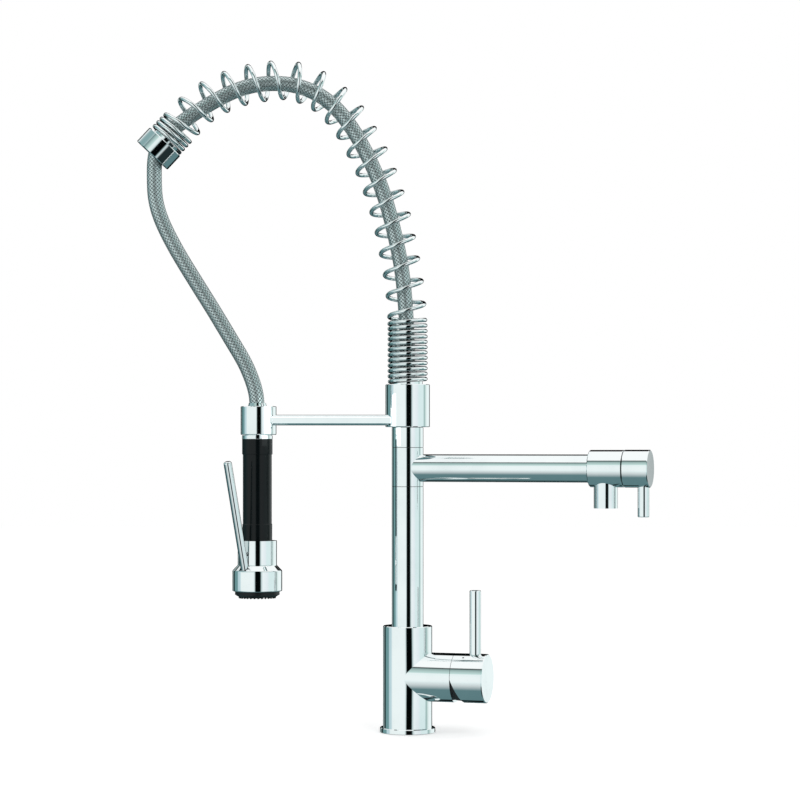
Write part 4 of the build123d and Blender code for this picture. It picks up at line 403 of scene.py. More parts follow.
    @staticmethod
    def fill_ramp(ramp: bpy.types.ColorRamp, stops: Sequence[tuple[float, Colour]]) -> None:
        """Fills a colour ramp.

        Args:
            ramp: The ramp.
            stops: Place and colour of each stop, in rising order.
        """
        while len(ramp.elements) > 1:
            ramp.elements.remove(ramp.elements[-1])
        ramp.elements[0].position = stops[0][0]
        ramp.elements[0].color = (*stops[0][1], 1.0)
        for place, colour in stops[1:]:
            ramp.elements.new(place).color = (*colour, 1.0)


# ---------------------------------------------------------------- finishes


@dataclass(frozen=True)
class Finish(ABC):
    """How one kind of surface looks.

    Attributes:
        name: The material's name.
        colour: Its main colour.
    """

    name: str
    colour: Colour

    @abstractmethod
    def shader(self, sheet: NodeSheet) -> Value:
        """Writes the finish.

        Args:
            sheet: The material's nodes.

        Returns:
            The shader's output.
        """

    def material(self) -> bpy.types.Material:
        """Makes the material that has this finish.

        Returns:
            The material.
        """
        material = bpy.data.materials.new(self.name)
        material.use_nodes = True
        material.diffuse_color = (*self.colour, 1.0)
        sheet = NodeSheet(material.node_tree)
        sheet.node("ShaderNodeOutputMaterial", {}, {"Surface": self.shader(sheet)})
        return material


@dataclass(frozen=True)
class PolishedPlate(Finish):
    """Bright plating: a clear mirror with a faint film of handling and hardly any orange peel.

    Attributes:
        film_colour: The plating's colour under the film.
        film: How the film lies.
        film_edges: The noise at which the film starts, and at which it is full.
        film_share: How much of the film's colour shows where it is full.
        clear_roughness: The roughness beside the film.
        film_roughness: The roughness under the film.
        haze: The haze that polishing leaves all over.
        haze_roughness: What the haze adds to the roughness at most.
        peel: The orange peel.
        peel_depth: The orange peel's depth.
        painted_shade_reach: Painted shade: how near another surface darkens a gap, or 0 where gaps stay
            bright.
        painted_shade_sky: The share of free sky in a closed gap, and in an open place, for the painted
            shade.
        painted_shade_colour: The painted shade's colour in closed gaps.
    """

    film_colour: Colour
    film: Grain = Grain(21.0, 4.0, 0.6)
    film_edges: Span = (0.42, 0.72)
    film_share: float = 0.6
    clear_roughness: float = 0.025
    film_roughness: float = 0.06
    haze: Grain = Grain(900.0)
    haze_roughness: float = 0.006
    peel: Grain = Grain(420.0, 1.0)
    peel_depth: float = 0.000004
    painted_shade_reach: float = 0.0
    painted_shade_sky: Span = (0.46, 0.84)
    painted_shade_colour: Colour = (0.004, 0.008, 0.008)

    def shader(self, sheet: NodeSheet) -> Value:
        """Writes the plating.

        Args:
            sheet: The material's nodes.

        Returns:
            The shader's output.
        """
        place = sheet.place()
        film = sheet.noise(place, self.film).step_up(*self.film_edges)
        haze = sheet.noise(place, self.haze)
        plate = sheet.mix(film * self.film_share, self.colour, self.film_colour)
        # Painted shade: the plating turns dark where nearby surfaces close a gap in, as between the
        # spring's turns.
        if self.painted_shade_reach:
            openness_for_painted_shade = sheet.openness_for_painted_shade(self.painted_shade_reach, *self.painted_shade_sky)
            plate = sheet.mix(openness_for_painted_shade, self.painted_shade_colour, plate)
        film_gain = self.film_roughness - self.clear_roughness
        return sheet.value(
            "ShaderNodeBsdfPrincipled",
            {},
            {
                "Base Color": plate,
                "Metallic": 1.0,
                "Roughness": self.clear_roughness + film * film_gain + haze * self.haze_roughness,
                "Normal": sheet.bump(sheet.noise(place, self.peel), self.peel_depth),
            },
        )


@dataclass(frozen=True)
class TurnedMetal(Finish):
    """Bare machined or drawn metal, with the fine lines that the tool leaves and some tarnish.

    Attributes:
        line_colour: The colour that the lines and the tarnish lead to.
        roughness: The roughness of the clean metal.
        lines: How the lines vary, once they are stretched.
        line_stretch: How closely they follow each other along X, Y and Z.
        line_share: How much of the line colour the lines bring.
        line_roughness: What the lines add to the roughness at most.
        line_depth: The lines' depth.
        tarnish: How the tarnish lies.
        tarnish_edges: The noise at which the tarnish starts, and at which it is full.
        tarnish_share: How much of the line colour the tarnish brings.
        tarnish_roughness: What the tarnish adds to the roughness at most.
    """

    line_colour: Colour
    roughness: float = 0.24
    lines: Grain = Grain(1.0, 3.0, 0.6)
    line_stretch: Point = (60.0, 60.0, 2600.0)
    line_share: float = 0.45
    line_roughness: float = 0.12
    line_depth: float = 0.00002
    tarnish: Grain = Grain(65.0, 3.0)
    tarnish_edges: Span = (0.45, 0.75)
    tarnish_share: float = 0.3
    tarnish_roughness: float = 0.1

    def shader(self, sheet: NodeSheet) -> Value:
        """Writes the machined metal.

        Args:
            sheet: The material's nodes.

        Returns:
            The shader's output.
        """
        lines = sheet.noise(sheet.place(self.line_stretch), self.lines)
        tarnish = sheet.noise(sheet.place(), self.tarnish).step_up(*self.tarnish_edges)
        change = lines * self.line_share + tarnish * self.tarnish_share
        roughness = self.roughness + lines * self.line_roughness + tarnish * self.tarnish_roughness
        return sheet.value(
            "ShaderNodeBsdfPrincipled",
            {},
            {
                "Base Color": sheet.mix(change, self.colour, self.line_colour),
                "Metallic": 1.0,
                "Roughness": roughness,
                "Normal": sheet.bump(lines, self.line_depth),
            },
        )


@dataclass(frozen=True)
class MouldedSkin(Finish):
    """Moulded rubber or plastic: a fine grain, and dust or wear that makes raised places paler.

    Attributes:
        worn_colour: The colour of worn or dusty places.
        roughness: The roughness on average.
        roughness_spread: How far the roughness varies in all.
        grain: The mould's grain.
        grain_depth: The grain's depth.
        cloud: How wear and dust lie.
        gloss: How strongly the skin itself reflects; 0.5 is plain plastic.
        gloss_coat: How much of a glossy coat lies on the skin.
        coat_roughness: The coat's roughness.
    """

    worn_colour: Colour
    roughness: float = 0.5
    roughness_spread: float = 0.12
    grain: Grain = Grain(2600.0)
    grain_depth: float = 0.00003
    cloud: Grain = Grain(48.0, 3.0, 0.6)
    gloss: float = 0.5
    gloss_coat: float = 0.0
    coat_roughness: float = 0.08

    def shader(self, sheet: NodeSheet) -> Value:
        """Writes the moulded surface.

        Args:
            sheet: The material's nodes.

        Returns:
            The shader's output.
        """
        place = sheet.place()
        grain = sheet.noise(place, self.grain)
        cloud = sheet.noise(place, self.cloud)
        return sheet.value(
            "ShaderNodeBsdfPrincipled",
            {},
            {
                "Base Color": sheet.mix(cloud * grain, self.colour, self.worn_colour),
                "Roughness": self.roughness + (cloud - NOISE_MIDDLE) * self.roughness_spread,
                "Specular IOR Level": self.gloss,
                "Coat Weight": self.gloss_coat,
                "Coat Roughness": self.coat_roughness,
                "Normal": sheet.bump(grain, self.grain_depth),
            },
        )


@dataclass(frozen=True)
class FiredCeramic(Finish):
    """Lapped ceramic: nearly white, dense and smooth, with a faint speckle.

    Attributes:
        speck_colour: The colour that the specks lead to.
        specks: How the specks lie.
        speck_edges: The noise at which a speck starts, and at which it is full.
        speck_share: How much of the speck colour shows where a speck is full.
        speck_depth: How far the specks stand out.
        roughness: The roughness where lapping left the least.
        lapping: How the lapping varies.
        lapping_roughness: What it adds to the roughness at most.
    """

    speck_colour: Colour = (0.55, 0.52, 0.46)
    specks: Grain = Grain(1900.0, 1.0)
    speck_edges: Span = (0.66, 0.74)
    speck_share: float = 0.5
    speck_depth: float = 0.000006
    roughness: float = 0.16
    lapping: Grain = Grain(90.0)
    lapping_roughness: float = 0.12

    def shader(self, sheet: NodeSheet) -> Value:
        """Writes the ceramic.

        Args:
            sheet: The material's nodes.

        Returns:
            The shader's output.
        """
        place = sheet.place()
        specks = sheet.noise(place, self.specks).step_up(*self.speck_edges)
        lapping = sheet.noise(place, self.lapping)
        return sheet.value(
            "ShaderNodeBsdfPrincipled",
            {},
            {
                "Base Color": sheet.mix(specks * self.speck_share, self.colour, self.speck_colour),
                "Roughness": self.roughness + lapping * self.lapping_roughness,
                "Normal": sheet.bump(specks, self.speck_depth),
            },
        )


@dataclass(frozen=True)
class WireBraid(Finish):
    """The hose's woven sleeve: two families of wire bundles that pass over and under by turns.

    Attributes:
        gap_colour: The colour between the bundles.
        bundles: How many bundles each family has.
        bundle_pitch: How far along the hose one bundle lies from the next.
        wires: How many wires a bundle has side by side.
        wire_relief: The share of a bundle's height that the dips between its wires take.
        turnover: How soon one family goes under the other, as a share of their waves' product.
        under_height: How high the family that is under stands, as a share of its own height.
        relief: The weave's depth.
        lit_heights: The height at which the wire's colour starts to show, and at which it is full.
        metal_share: How metallic the wires are.
        roughness: The roughness at the bottom of the weave.
        crown_polish: How much smoother the bundles' crowns are.
        soil: How soil lies on the weave.
        soiled_shine: How bright the wires are where the soil's noise is 0.
        shine_gain: How much brighter they are where it is 1.
        soil_roughness: How far the soil varies the roughness in all.
        painted_shade_reach: Painted shade: how near another surface darkens the braid, or 0 where it
            stays bright.
        painted_shade_sky: The share of free sky in a closed gap, and in an open place, for the painted
            shade.
    """

    gap_colour: Colour = (0.012, 0.024, 0.024)
    bundles: int = 12
    bundle_pitch: float = 0.0038
    wires: int = 2
    wire_relief: float = 0.3
    turnover: float = 0.22
    under_height: float = 0.45
    relief: float = 0.00028
    lit_heights: Span = (0.12, 0.92)
    metal_share: float = 0.96
    roughness: float = 0.26
    crown_polish: float = 0.08
    soil: Grain = Grain(70.0, 3.0)
    soiled_shine: float = 0.88
    shine_gain: float = 0.24
    soil_roughness: float = 0.08
    painted_shade_reach: float = 0.0
    painted_shade_sky: Span = (0.18, 0.70)

    def family(self, across: Value) -> tuple[Value, Value]:
        """Writes the bundles that wind one way round the hose.

        Args:
            across: How far across the bundles a place lies, in steps of pi from one to the next.

        Returns:
            The bundles' wave, whose sign changes from one to the next, and their height with the wires.
        """
        wave = across.sine()
        wires = abs((across * float(self.wires)).sine())
        return wave, abs(wave) * (wires * self.wire_relief + (1.0 - self.wire_relief))

    def shader(self, sheet: NodeSheet) -> Value:
        """Writes the weave from the hose's own run: U once round it, V along it in metres.

        Args:
            sheet: The material's nodes.

        Returns:
            The shader's output.
        """
        own_run = sheet.value("ShaderNodeUVMap", {"uv_map": RUN_MAP})
        run = sheet.node("ShaderNodeSeparateXYZ", {}, {0: own_run})
        round_hose = Value(sheet, run.outputs["X"]) * (pi * self.bundles)
        along_hose = Value(sheet, run.outputs["Y"]) * (pi / self.bundle_pitch)
        left, left_crown = self.family(round_hose + along_hose)
        right, right_crown = self.family(round_hose - along_hose)
        left_on_top = (left * right).step_up(-self.turnover, self.turnover)
        crown = left_on_top * left_crown + (1.0 - left_on_top) * right_crown
        height = crown.at_least(left_crown.at_least(right_crown) * self.under_height)
        soil = sheet.noise(sheet.place(), self.soil)
        lit = height.step_up(*self.lit_heights)
        # Painted shade: the braid goes dark where surfaces nearby close it in, as inside the coiled
        # spring.
        if self.painted_shade_reach:
            lit = lit * sheet.openness_for_painted_shade(self.painted_shade_reach, *self.painted_shade_sky)
        shine = lit * (self.soiled_shine + soil * self.shine_gain)
        soiling = (soil - NOISE_MIDDLE) * self.soil_roughness
        return sheet.value(
            "ShaderNodeBsdfPrincipled",
            {},
            {
                "Base Color": sheet.mix(shine, self.gap_colour, self.colour),
                "Metallic": lit * self.metal_share,
                "Roughness": self.roughness - height * self.crown_polish + soiling,
                "Normal": sheet.bump(height, self.relief),
            },
        )


class Skin(Enum):
    """The finishes that the faucet's pieces have."""

    CHROME = PolishedPlate("chrome_plate", (0.945, 0.972, 0.976), film_colour=(0.84, 0.88, 0.89))
    SPRING_WIRE = PolishedPlate(
        "spring_plate_painted_shade",
        (0.975, 0.99, 0.99),
        film_colour=(0.85, 0.89, 0.90),
        clear_roughness=0.02,
        film_roughness=0.05,
        # Painted shade between the spring's turns.
        painted_shade_reach=0.004,
    )
    STAINLESS = TurnedMetal(
        "stainless_steel", (0.60, 0.62, 0.63), line_colour=(0.42, 0.44, 0.45), roughness=0.2
    )
    BRASS = TurnedMetal("turned_brass", (0.74, 0.56, 0.26), line_colour=(0.52, 0.37, 0.15))
    CERAMIC = FiredCeramic("lapped_ceramic", (0.86, 0.85, 0.80))
    SEAL_RUBBER = MouldedSkin("seal_rubber", (0.018, 0.018, 0.019), worn_colour=(0.05, 0.05, 0.05))
    GRIP_RUBBER = MouldedSkin(
        "grip_rubber",
        (0.0012, 0.0028, 0.0034),
        worn_colour=(0.006, 0.009, 0.010),
        roughness=0.17,
        roughness_spread=0.06,
        grain=Grain(1500.0),
        grain_depth=0.000006,
        gloss=0.16,
        gloss_coat=0.12,
    )
    NOZZLE_RUBBER = MouldedSkin(
        "nozzle_rubber",
        (0.004, 0.006, 0.007),
        worn_colour=(0.014, 0.017, 0.018),
        roughness=0.36,
        gloss=0.25,
    )
    DARK_PLASTIC = MouldedSkin("dark_plastic", (0.012, 0.014, 0.015), worn_colour=(0.03, 0.03, 0.03))
    WHITE_PLASTIC = MouldedSkin(
        "white_plastic",
        (0.80, 0.80, 0.77),
        worn_colour=(0.66, 0.66, 0.62),
        roughness=0.38,
        grain_depth=0.00001,
    )
    BRAID = WireBraid("hose_braid", (0.66, 0.76, 0.76))
    # The braid inside the coil, with painted shade where the spring's turns close it in.
    COILED_BRAID_PAINTED_SHADE = WireBraid("coiled_hose_braid_painted_shade", (0.66, 0.76, 0.76), painted_shade_reach=0.009)
    INDEX = MouldedSkin(
        "index_enamel",
        (0.03, 0.035, 0.04),
        worn_colour=(0.07, 0.075, 0.08),
        roughness=0.2,
        gloss_coat=0.4,
    )


class FinishShelf:
    """Holds one material for each finish in use."""

    def __init__(self) -> None:
        """Starts with an empty shelf."""
        self.materials: dict[Skin, bpy.types.Material] = {}

    def take(self, skin: Skin) -> bpy.types.Material:
        """Gives the material of a finish, which its first use makes.

        Args:
            skin: The finish.

        Returns:
            The material.
        """
        if skin not in self.materials:
            self.materials[skin] = skin.value.material()
        return self.materials[skin]

    def put_on(self, piece: bpy.types.Object, skin: Skin) -> None:
        """Gives a piece one finish all over.

        Args:
            piece: The piece.
            skin: Its finish.
        """
        piece.data.materials.clear()
        piece.data.materials.append(self.take(skin))


# ---------------------------------------------------------------- sub-assemblies


@dataclass
class SubAssembly:
    """A group of the faucet's pieces that are made and dressed together.

    Attributes:
        shelf: Where the finishes are kept.
        skins: The finish of each of the group's CAD pieces, by the piece's name.
    """

    shelf: FinishShelf
    skins: ClassVar[Mapping[str, Skin]] = {}

    def dress(self, nodes: Mapping[str, bpy.types.Object]) -> None:
        """Gives each CAD piece of the group its finish.

        Args:
            nodes: The CAD pieces by name.
        """
        for name, skin in self.skins.items():
            self.shelf.put_on(nodes[name], skin)
            logger.info("%s: %s has %s", type(self).__name__, name, skin.value.name)


@dataclass
class MixerBase(SubAssembly):
    """The foot on the deck, the mixer body with its ceramic cartridge, and the handle."""

    skins: ClassVar[Mapping[str, Skin]] = {
        "deck_flange": Skin.CHROME,
        "base_gasket": Skin.SEAL_RUBBER,
        "mixer_body": Skin.CHROME,
        "cartridge_seal": Skin.SEAL_RUBBER,
        "cartridge_housing": Skin.DARK_PLASTIC,
        "fixed_ceramic_disc": Skin.CERAMIC,
        "moving_ceramic_disc": Skin.CERAMIC,
        "cartridge_rotor": Skin.DARK_PLASTIC,
        "tilt_pin": Skin.STAINLESS,
        "cartridge_nut": Skin.BRASS,
        "cartridge_cover": Skin.DARK_PLASTIC,
        "handle_spindle": Skin.BRASS,
        "handle_cap": Skin.CHROME,
        "handle_lever": Skin.CHROME,
        "index_dot": Skin.INDEX,
    }


@dataclass
class Column(SubAssembly):
    """The upright tubes with the core that carries the water and the swivels."""

    skins: ClassVar[Mapping[str, Skin]] = {
        "lower_column": Skin.CHROME,
        "column_core": Skin.BRASS,
        "column_o_rings": Skin.SEAL_RUBBER,
        "spout_slip_washers": Skin.DARK_PLASTIC,
        "upper_column": Skin.CHROME,
        "collar_slip_washer": Skin.DARK_PLASTIC,
        "retaining_ring": Skin.STAINLESS,
    }


@dataclass
class Spout(SubAssembly):
    """The long spout with its own shut-off, knob and aerator."""

    skins: ClassVar[Mapping[str, Skin]] = {
        "spout_hub": Skin.CHROME,
        "spout_tube": Skin.CHROME,
        "spout_valve_body": Skin.CHROME,
        "outlet_nozzle": Skin.CHROME,
        "aerator": Skin.WHITE_PLASTIC,
        "aerator_washer": Skin.SEAL_RUBBER,
        "shutoff_cartridge": Skin.BRASS,
        "shutoff_fixed_disc": Skin.CERAMIC,
        "shutoff_moving_disc": Skin.CERAMIC,
        "shutoff_spindle": Skin.BRASS,
        "valve_knob": Skin.CHROME,
        "knob_pin": Skin.CHROME,
    }


@dataclass
class HoseRun:
    """One run of braided hose: a round tube along a smooth line that its route guides.

    Attributes:
        name: The piece's name.
        route: The points (x, z) that guide the line, all in the plane y = 0.
        diameter: The hose's outer diameter.
        sides: How many flats the tube has round it.
        ring_gap: The distance between the tube's rings.
        spline_order: How many of the route's points act together on each place of the line.
        spline_steps: How finely the line is read for each of the route's points.
    """

    name: str
    route: Sequence[tuple[float, float]]
    diameter: float
    sides: int = 48
    ring_gap: float = 0.0015
    spline_order: int = 3
    spline_steps: int = 40

    def line(self) -> list[Vector]:
        """Reads the hose's centre line from a NURBS spline that has the route as its control points.

        Returns:
            Points along the line.
        """
        curve = bpy.data.curves.new(self.name + "_line", "CURVE")
        curve.dimensions = "3D"
        spline = curve.splines.new("NURBS")
        spline.points.add(len(self.route) - 1)
        for point, (x, z) in zip(spline.points, self.route):
            point.co = (x, 0.0, z, 1.0)
        spline.order_u = self.spline_order
        spline.use_endpoint_u = True
        spline.resolution_u = self.spline_steps
        carrier = bpy.data.objects.new(self.name + "_line", curve)
        mesh = bpy.data.meshes.new_from_object(carrier)
        points = [vertex.co.copy() for vertex in mesh.vertices]
        bpy.data.objects.remove(carrier)
        bpy.data.curves.remove(curve)
        bpy.data.meshes.remove(mesh)
        return points

    def even_line(self) -> list[Vector]:
        """Spaces the centre line's points evenly.

        Returns:
            Points about one ring gap apart, the two ends included.
        """
        raw = self.line()
        reach = [0.0]
        for before, after in zip(raw, raw[1:]):
            reach.append(reach[-1] + (after - before).length)
        rings = max(2, round(reach[-1] / self.ring_gap))
        even, index = [], 0
        for step in range(rings + 1):
            target = reach[-1] * step / rings
            while index < len(reach) - 2 and reach[index + 1] < target:
                index += 1
            span = reach[index + 1] - reach[index]
            share = 0.0 if span == 0.0 else (target - reach[index]) / span
            even.append(raw[index].lerp(raw[index + 1], min(1.0, max(0.0, share))))
        return even

    @staticmethod
    def length(line: Sequence[Vector]) -> float:
        """Adds up a line's length."""
        return sum((after - before).length for before, after in zip(line, line[1:]))

    def build(self, line: Sequence[Vector]) -> bpy.types.Object:
        """Builds the tube round its centre line, with its run in a UV map.

        Args:
            line: The centre line's points.

        Returns:
            The hose as an object in the scene.
        """
        tube = bmesh.new()
        run = tube.loops.layers.uv.new(RUN_MAP)
        radius = self.diameter / 2.0
        spokes = [tau * side / self.sides for side in range(self.sides)]
        across = Vector((0.0, 1.0, 0.0))
        rings: list[list[bmesh.types.BMVert]] = []
        along = [0.0]
        for index, point in enumerate(line):
            before = line[max(0, index - 1)]
            after = line[min(len(line) - 1, index + 1)]
            outward = across.cross((after - before).normalized())
            rings.append(
                [
                    tube.verts.new(
                        point + outward * (radius * cos(spoke)) + across * (radius * sin(spoke))
                    )
                    for spoke in spokes
                ]
            )
            if index:
                along.append(along[-1] + (point - before).length)
        for index in range(len(rings) - 1):
            for side in range(self.sides):
                following = (side + 1) % self.sides
                face = tube.faces.new(
                    (
                        rings[index][side],
                        rings[index + 1][side],
                        rings[index + 1][following],
                        rings[index][following],
                    )
                )
                face.smooth = True
                corners = (
                    (side, along[index]),
                    (side, along[index + 1]),
                    (side + 1, along[index + 1]),
                    (side + 1, along[index]),
                )
                for loop, (turn, distance) in zip(face.loops, corners):
                    loop[run].uv = (turn / self.sides, distance)
        for ring in (rings[0], rings[-1]):
            for edge in tube.faces.new(ring).edges:
                edge.smooth = False
        bmesh.ops.recalc_face_normals(tube, faces=tube.faces)
        mesh = bpy.data.meshes.new(self.name)
        tube.to_mesh(mesh)
        tube.free()
        return put_in_scene(self.name, mesh)


@dataclass
class SpringArm(SubAssembly):
    """The swivelling collar with the support spring, the two runs of hose and the spray's holder.

    Attributes:
        skins: The finish of each CAD piece. The woven runs take the place of the two plain hoses.
        hose_diameter: The hose's outer diameter.
        arch_route: The points (x, z) that guide the hose inside the spring.
        hanging_route: The points (x, z) that guide the free hose.
    """

    skins: ClassVar[Mapping[str, Skin]] = {
        "swivel_collar": Skin.CHROME,
        "collar_bush": Skin.WHITE_PLASTIC,
        "collar_lid": Skin.CHROME,
        "hose_connector": Skin.BRASS,
        "connector_o_ring": Skin.SEAL_RUBBER,
        "lower_hose_ferrule": Skin.STAINLESS,
        "support_spring": Skin.SPRING_WIRE,
        "spring_end_cap": Skin.CHROME,
        "arch_hose": Skin.BRAID,
        "hanging_hose": Skin.BRAID,
        "holder_arm": Skin.CHROME,
        "holder_ring": Skin.CHROME,
        "holder_liner": Skin.WHITE_PLASTIC,
    }
    hose_diameter: float = 0.015
    arch_route: Sequence[tuple[float, float]] = (
        (0.0, 0.3503),
        (0.0, 0.434),
        (-0.0165, 0.517),
        (-0.0345, 0.567),
        (-0.0605, 0.613),
        (-0.087, 0.638),
        (-0.121, 0.6495),
        (-0.163, 0.6465),
        (-0.205, 0.6245),
        (-0.2405, 0.5987),
        (-0.2487, 0.5873),
        (-0.2533, 0.574),
        (-0.2533, 0.56),
    )
    hanging_route: Sequence[tuple[float, float]] = (
        (-0.2533, 0.56),
        (-0.2533, 0.545),
        (-0.252, 0.5311),
        (-0.2485, 0.5176),
        (-0.242, 0.5019),
        (-0.2293, 0.4781),
        (-0.2107, 0.448),
        (-0.1937, 0.421),
        (-0.177, 0.393),
        (-0.1643, 0.372),
        (-0.1582, 0.359),
        (-0.1528, 0.344),
        (-0.1503, 0.33),
        (-0.1503, 0.3096),
    )

    def weave(
        self, name: str, route: Sequence[tuple[float, float]], skin: Skin
    ) -> tuple[bpy.types.Object, list[Vector]]:
        """Weaves one run of the hose and gives it its finish.

        Args:
            name: The piece's name.
            route: The points (x, z) that guide its line.
            skin: Its finish.

        Returns:
            The run as an object in the scene, and its centre line.
        """
        run = HoseRun(name, route, self.hose_diameter)
        line = run.even_line()
        hose = run.build(line)
        self.shelf.put_on(hose, skin)
        logger.info("%s: %s woven, %.4f m long", type(self).__name__, name, run.length(line))
        return hose, line

    def weave_arch_hose(self) -> None:
        """Weaves the hose inside the spring, which turns with the collar as one stiff piece."""
        hose, _ = self.weave("braided_arch_hose", self.arch_route, Skin.COILED_BRAID_PAINTED_SHADE)
        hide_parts("arch_hose")
        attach(hose, "spring_arm")

    def weave_hanging_hose(self) -> None:
        """Weaves the free hose from the spring's end cap to the spray."""
        hose, line = self.weave("braided_hanging_hose", self.hanging_route, Skin.BRAID)
        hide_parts("hanging_hose")
        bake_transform(hose)


@dataclass
class HandSpray(SubAssembly):
    """The pull-down spray with its grip, lever, valve and face."""

    skins: ClassVar[Mapping[str, Skin]] = {
        "hose_ferrule": Skin.CHROME,
        "docking_neck": Skin.CHROME,
        "check_valve": Skin.WHITE_PLASTIC,
        "grip_tube": Skin.DARK_PLASTIC,
        "grip_sleeve": Skin.GRIP_RUBBER,
        "spray_body": Skin.CHROME,
        "valve_seat_plug": Skin.CHROME,
        "valve_spring": Skin.STAINLESS,
        "valve_plunger": Skin.STAINLESS,
        "spray_lever": Skin.CHROME,
        "lever_pivot_pin": Skin.STAINLESS,
        "flow_plate": Skin.WHITE_PLASTIC,
        "spray_face": Skin.NOZZLE_RUBBER,
    }


# ---------------------------------------------------------------- studio


@dataclass(frozen=True)
class StripLamp:
    """A dim flat lamp that stands near the object, faces away from the viewer and lights only polish.

    Attributes:
        name: The lamp's name.
        centre: Its centre.
        width: Its width.
        height: Its height.
        colour: Its colour and brightness, to which the surround behind it adds.
    """

    name: str
    centre: Point
    width: float
    height: float
    colour: Colour


@dataclass(frozen=True)
class SoftLamp:
    """A square lamp that faces the object from one side and stays out of the polish.

    Attributes:
        name: The lamp's name.
        place: Where it hangs.
        side: The side of its face.
        watts: Its power.
    """

    name: str
    place: Point
    side: float
    watts: float


@dataclass(frozen=True)
class Patch:
    """A part of the surround that has a colour of its own in polish.

    Attributes:
        colour: Its colour.
        windows: The stretches that make it up. For each axis that bounds a stretch, it says how far a
            direction reaches along that axis where the patch starts to show, and where it is full.
    """

    colour: Colour
    windows: Sequence[Mapping[str, Span]]

    def mask(self, reach: Mapping[str, Value]) -> Value:
        """Writes how much of the patch shows.

        Args:
            reach: How far a direction reaches along each axis, both ways, as a share of its length.

        Returns:
            The share of the patch, 0 to 1.
        """
        shares = [
            reduce(mul, [reach[axis].step_up(*edges) for axis, edges in window.items()])
            for window in self.windows
        ]
        return reduce(Value.at_least, shares)


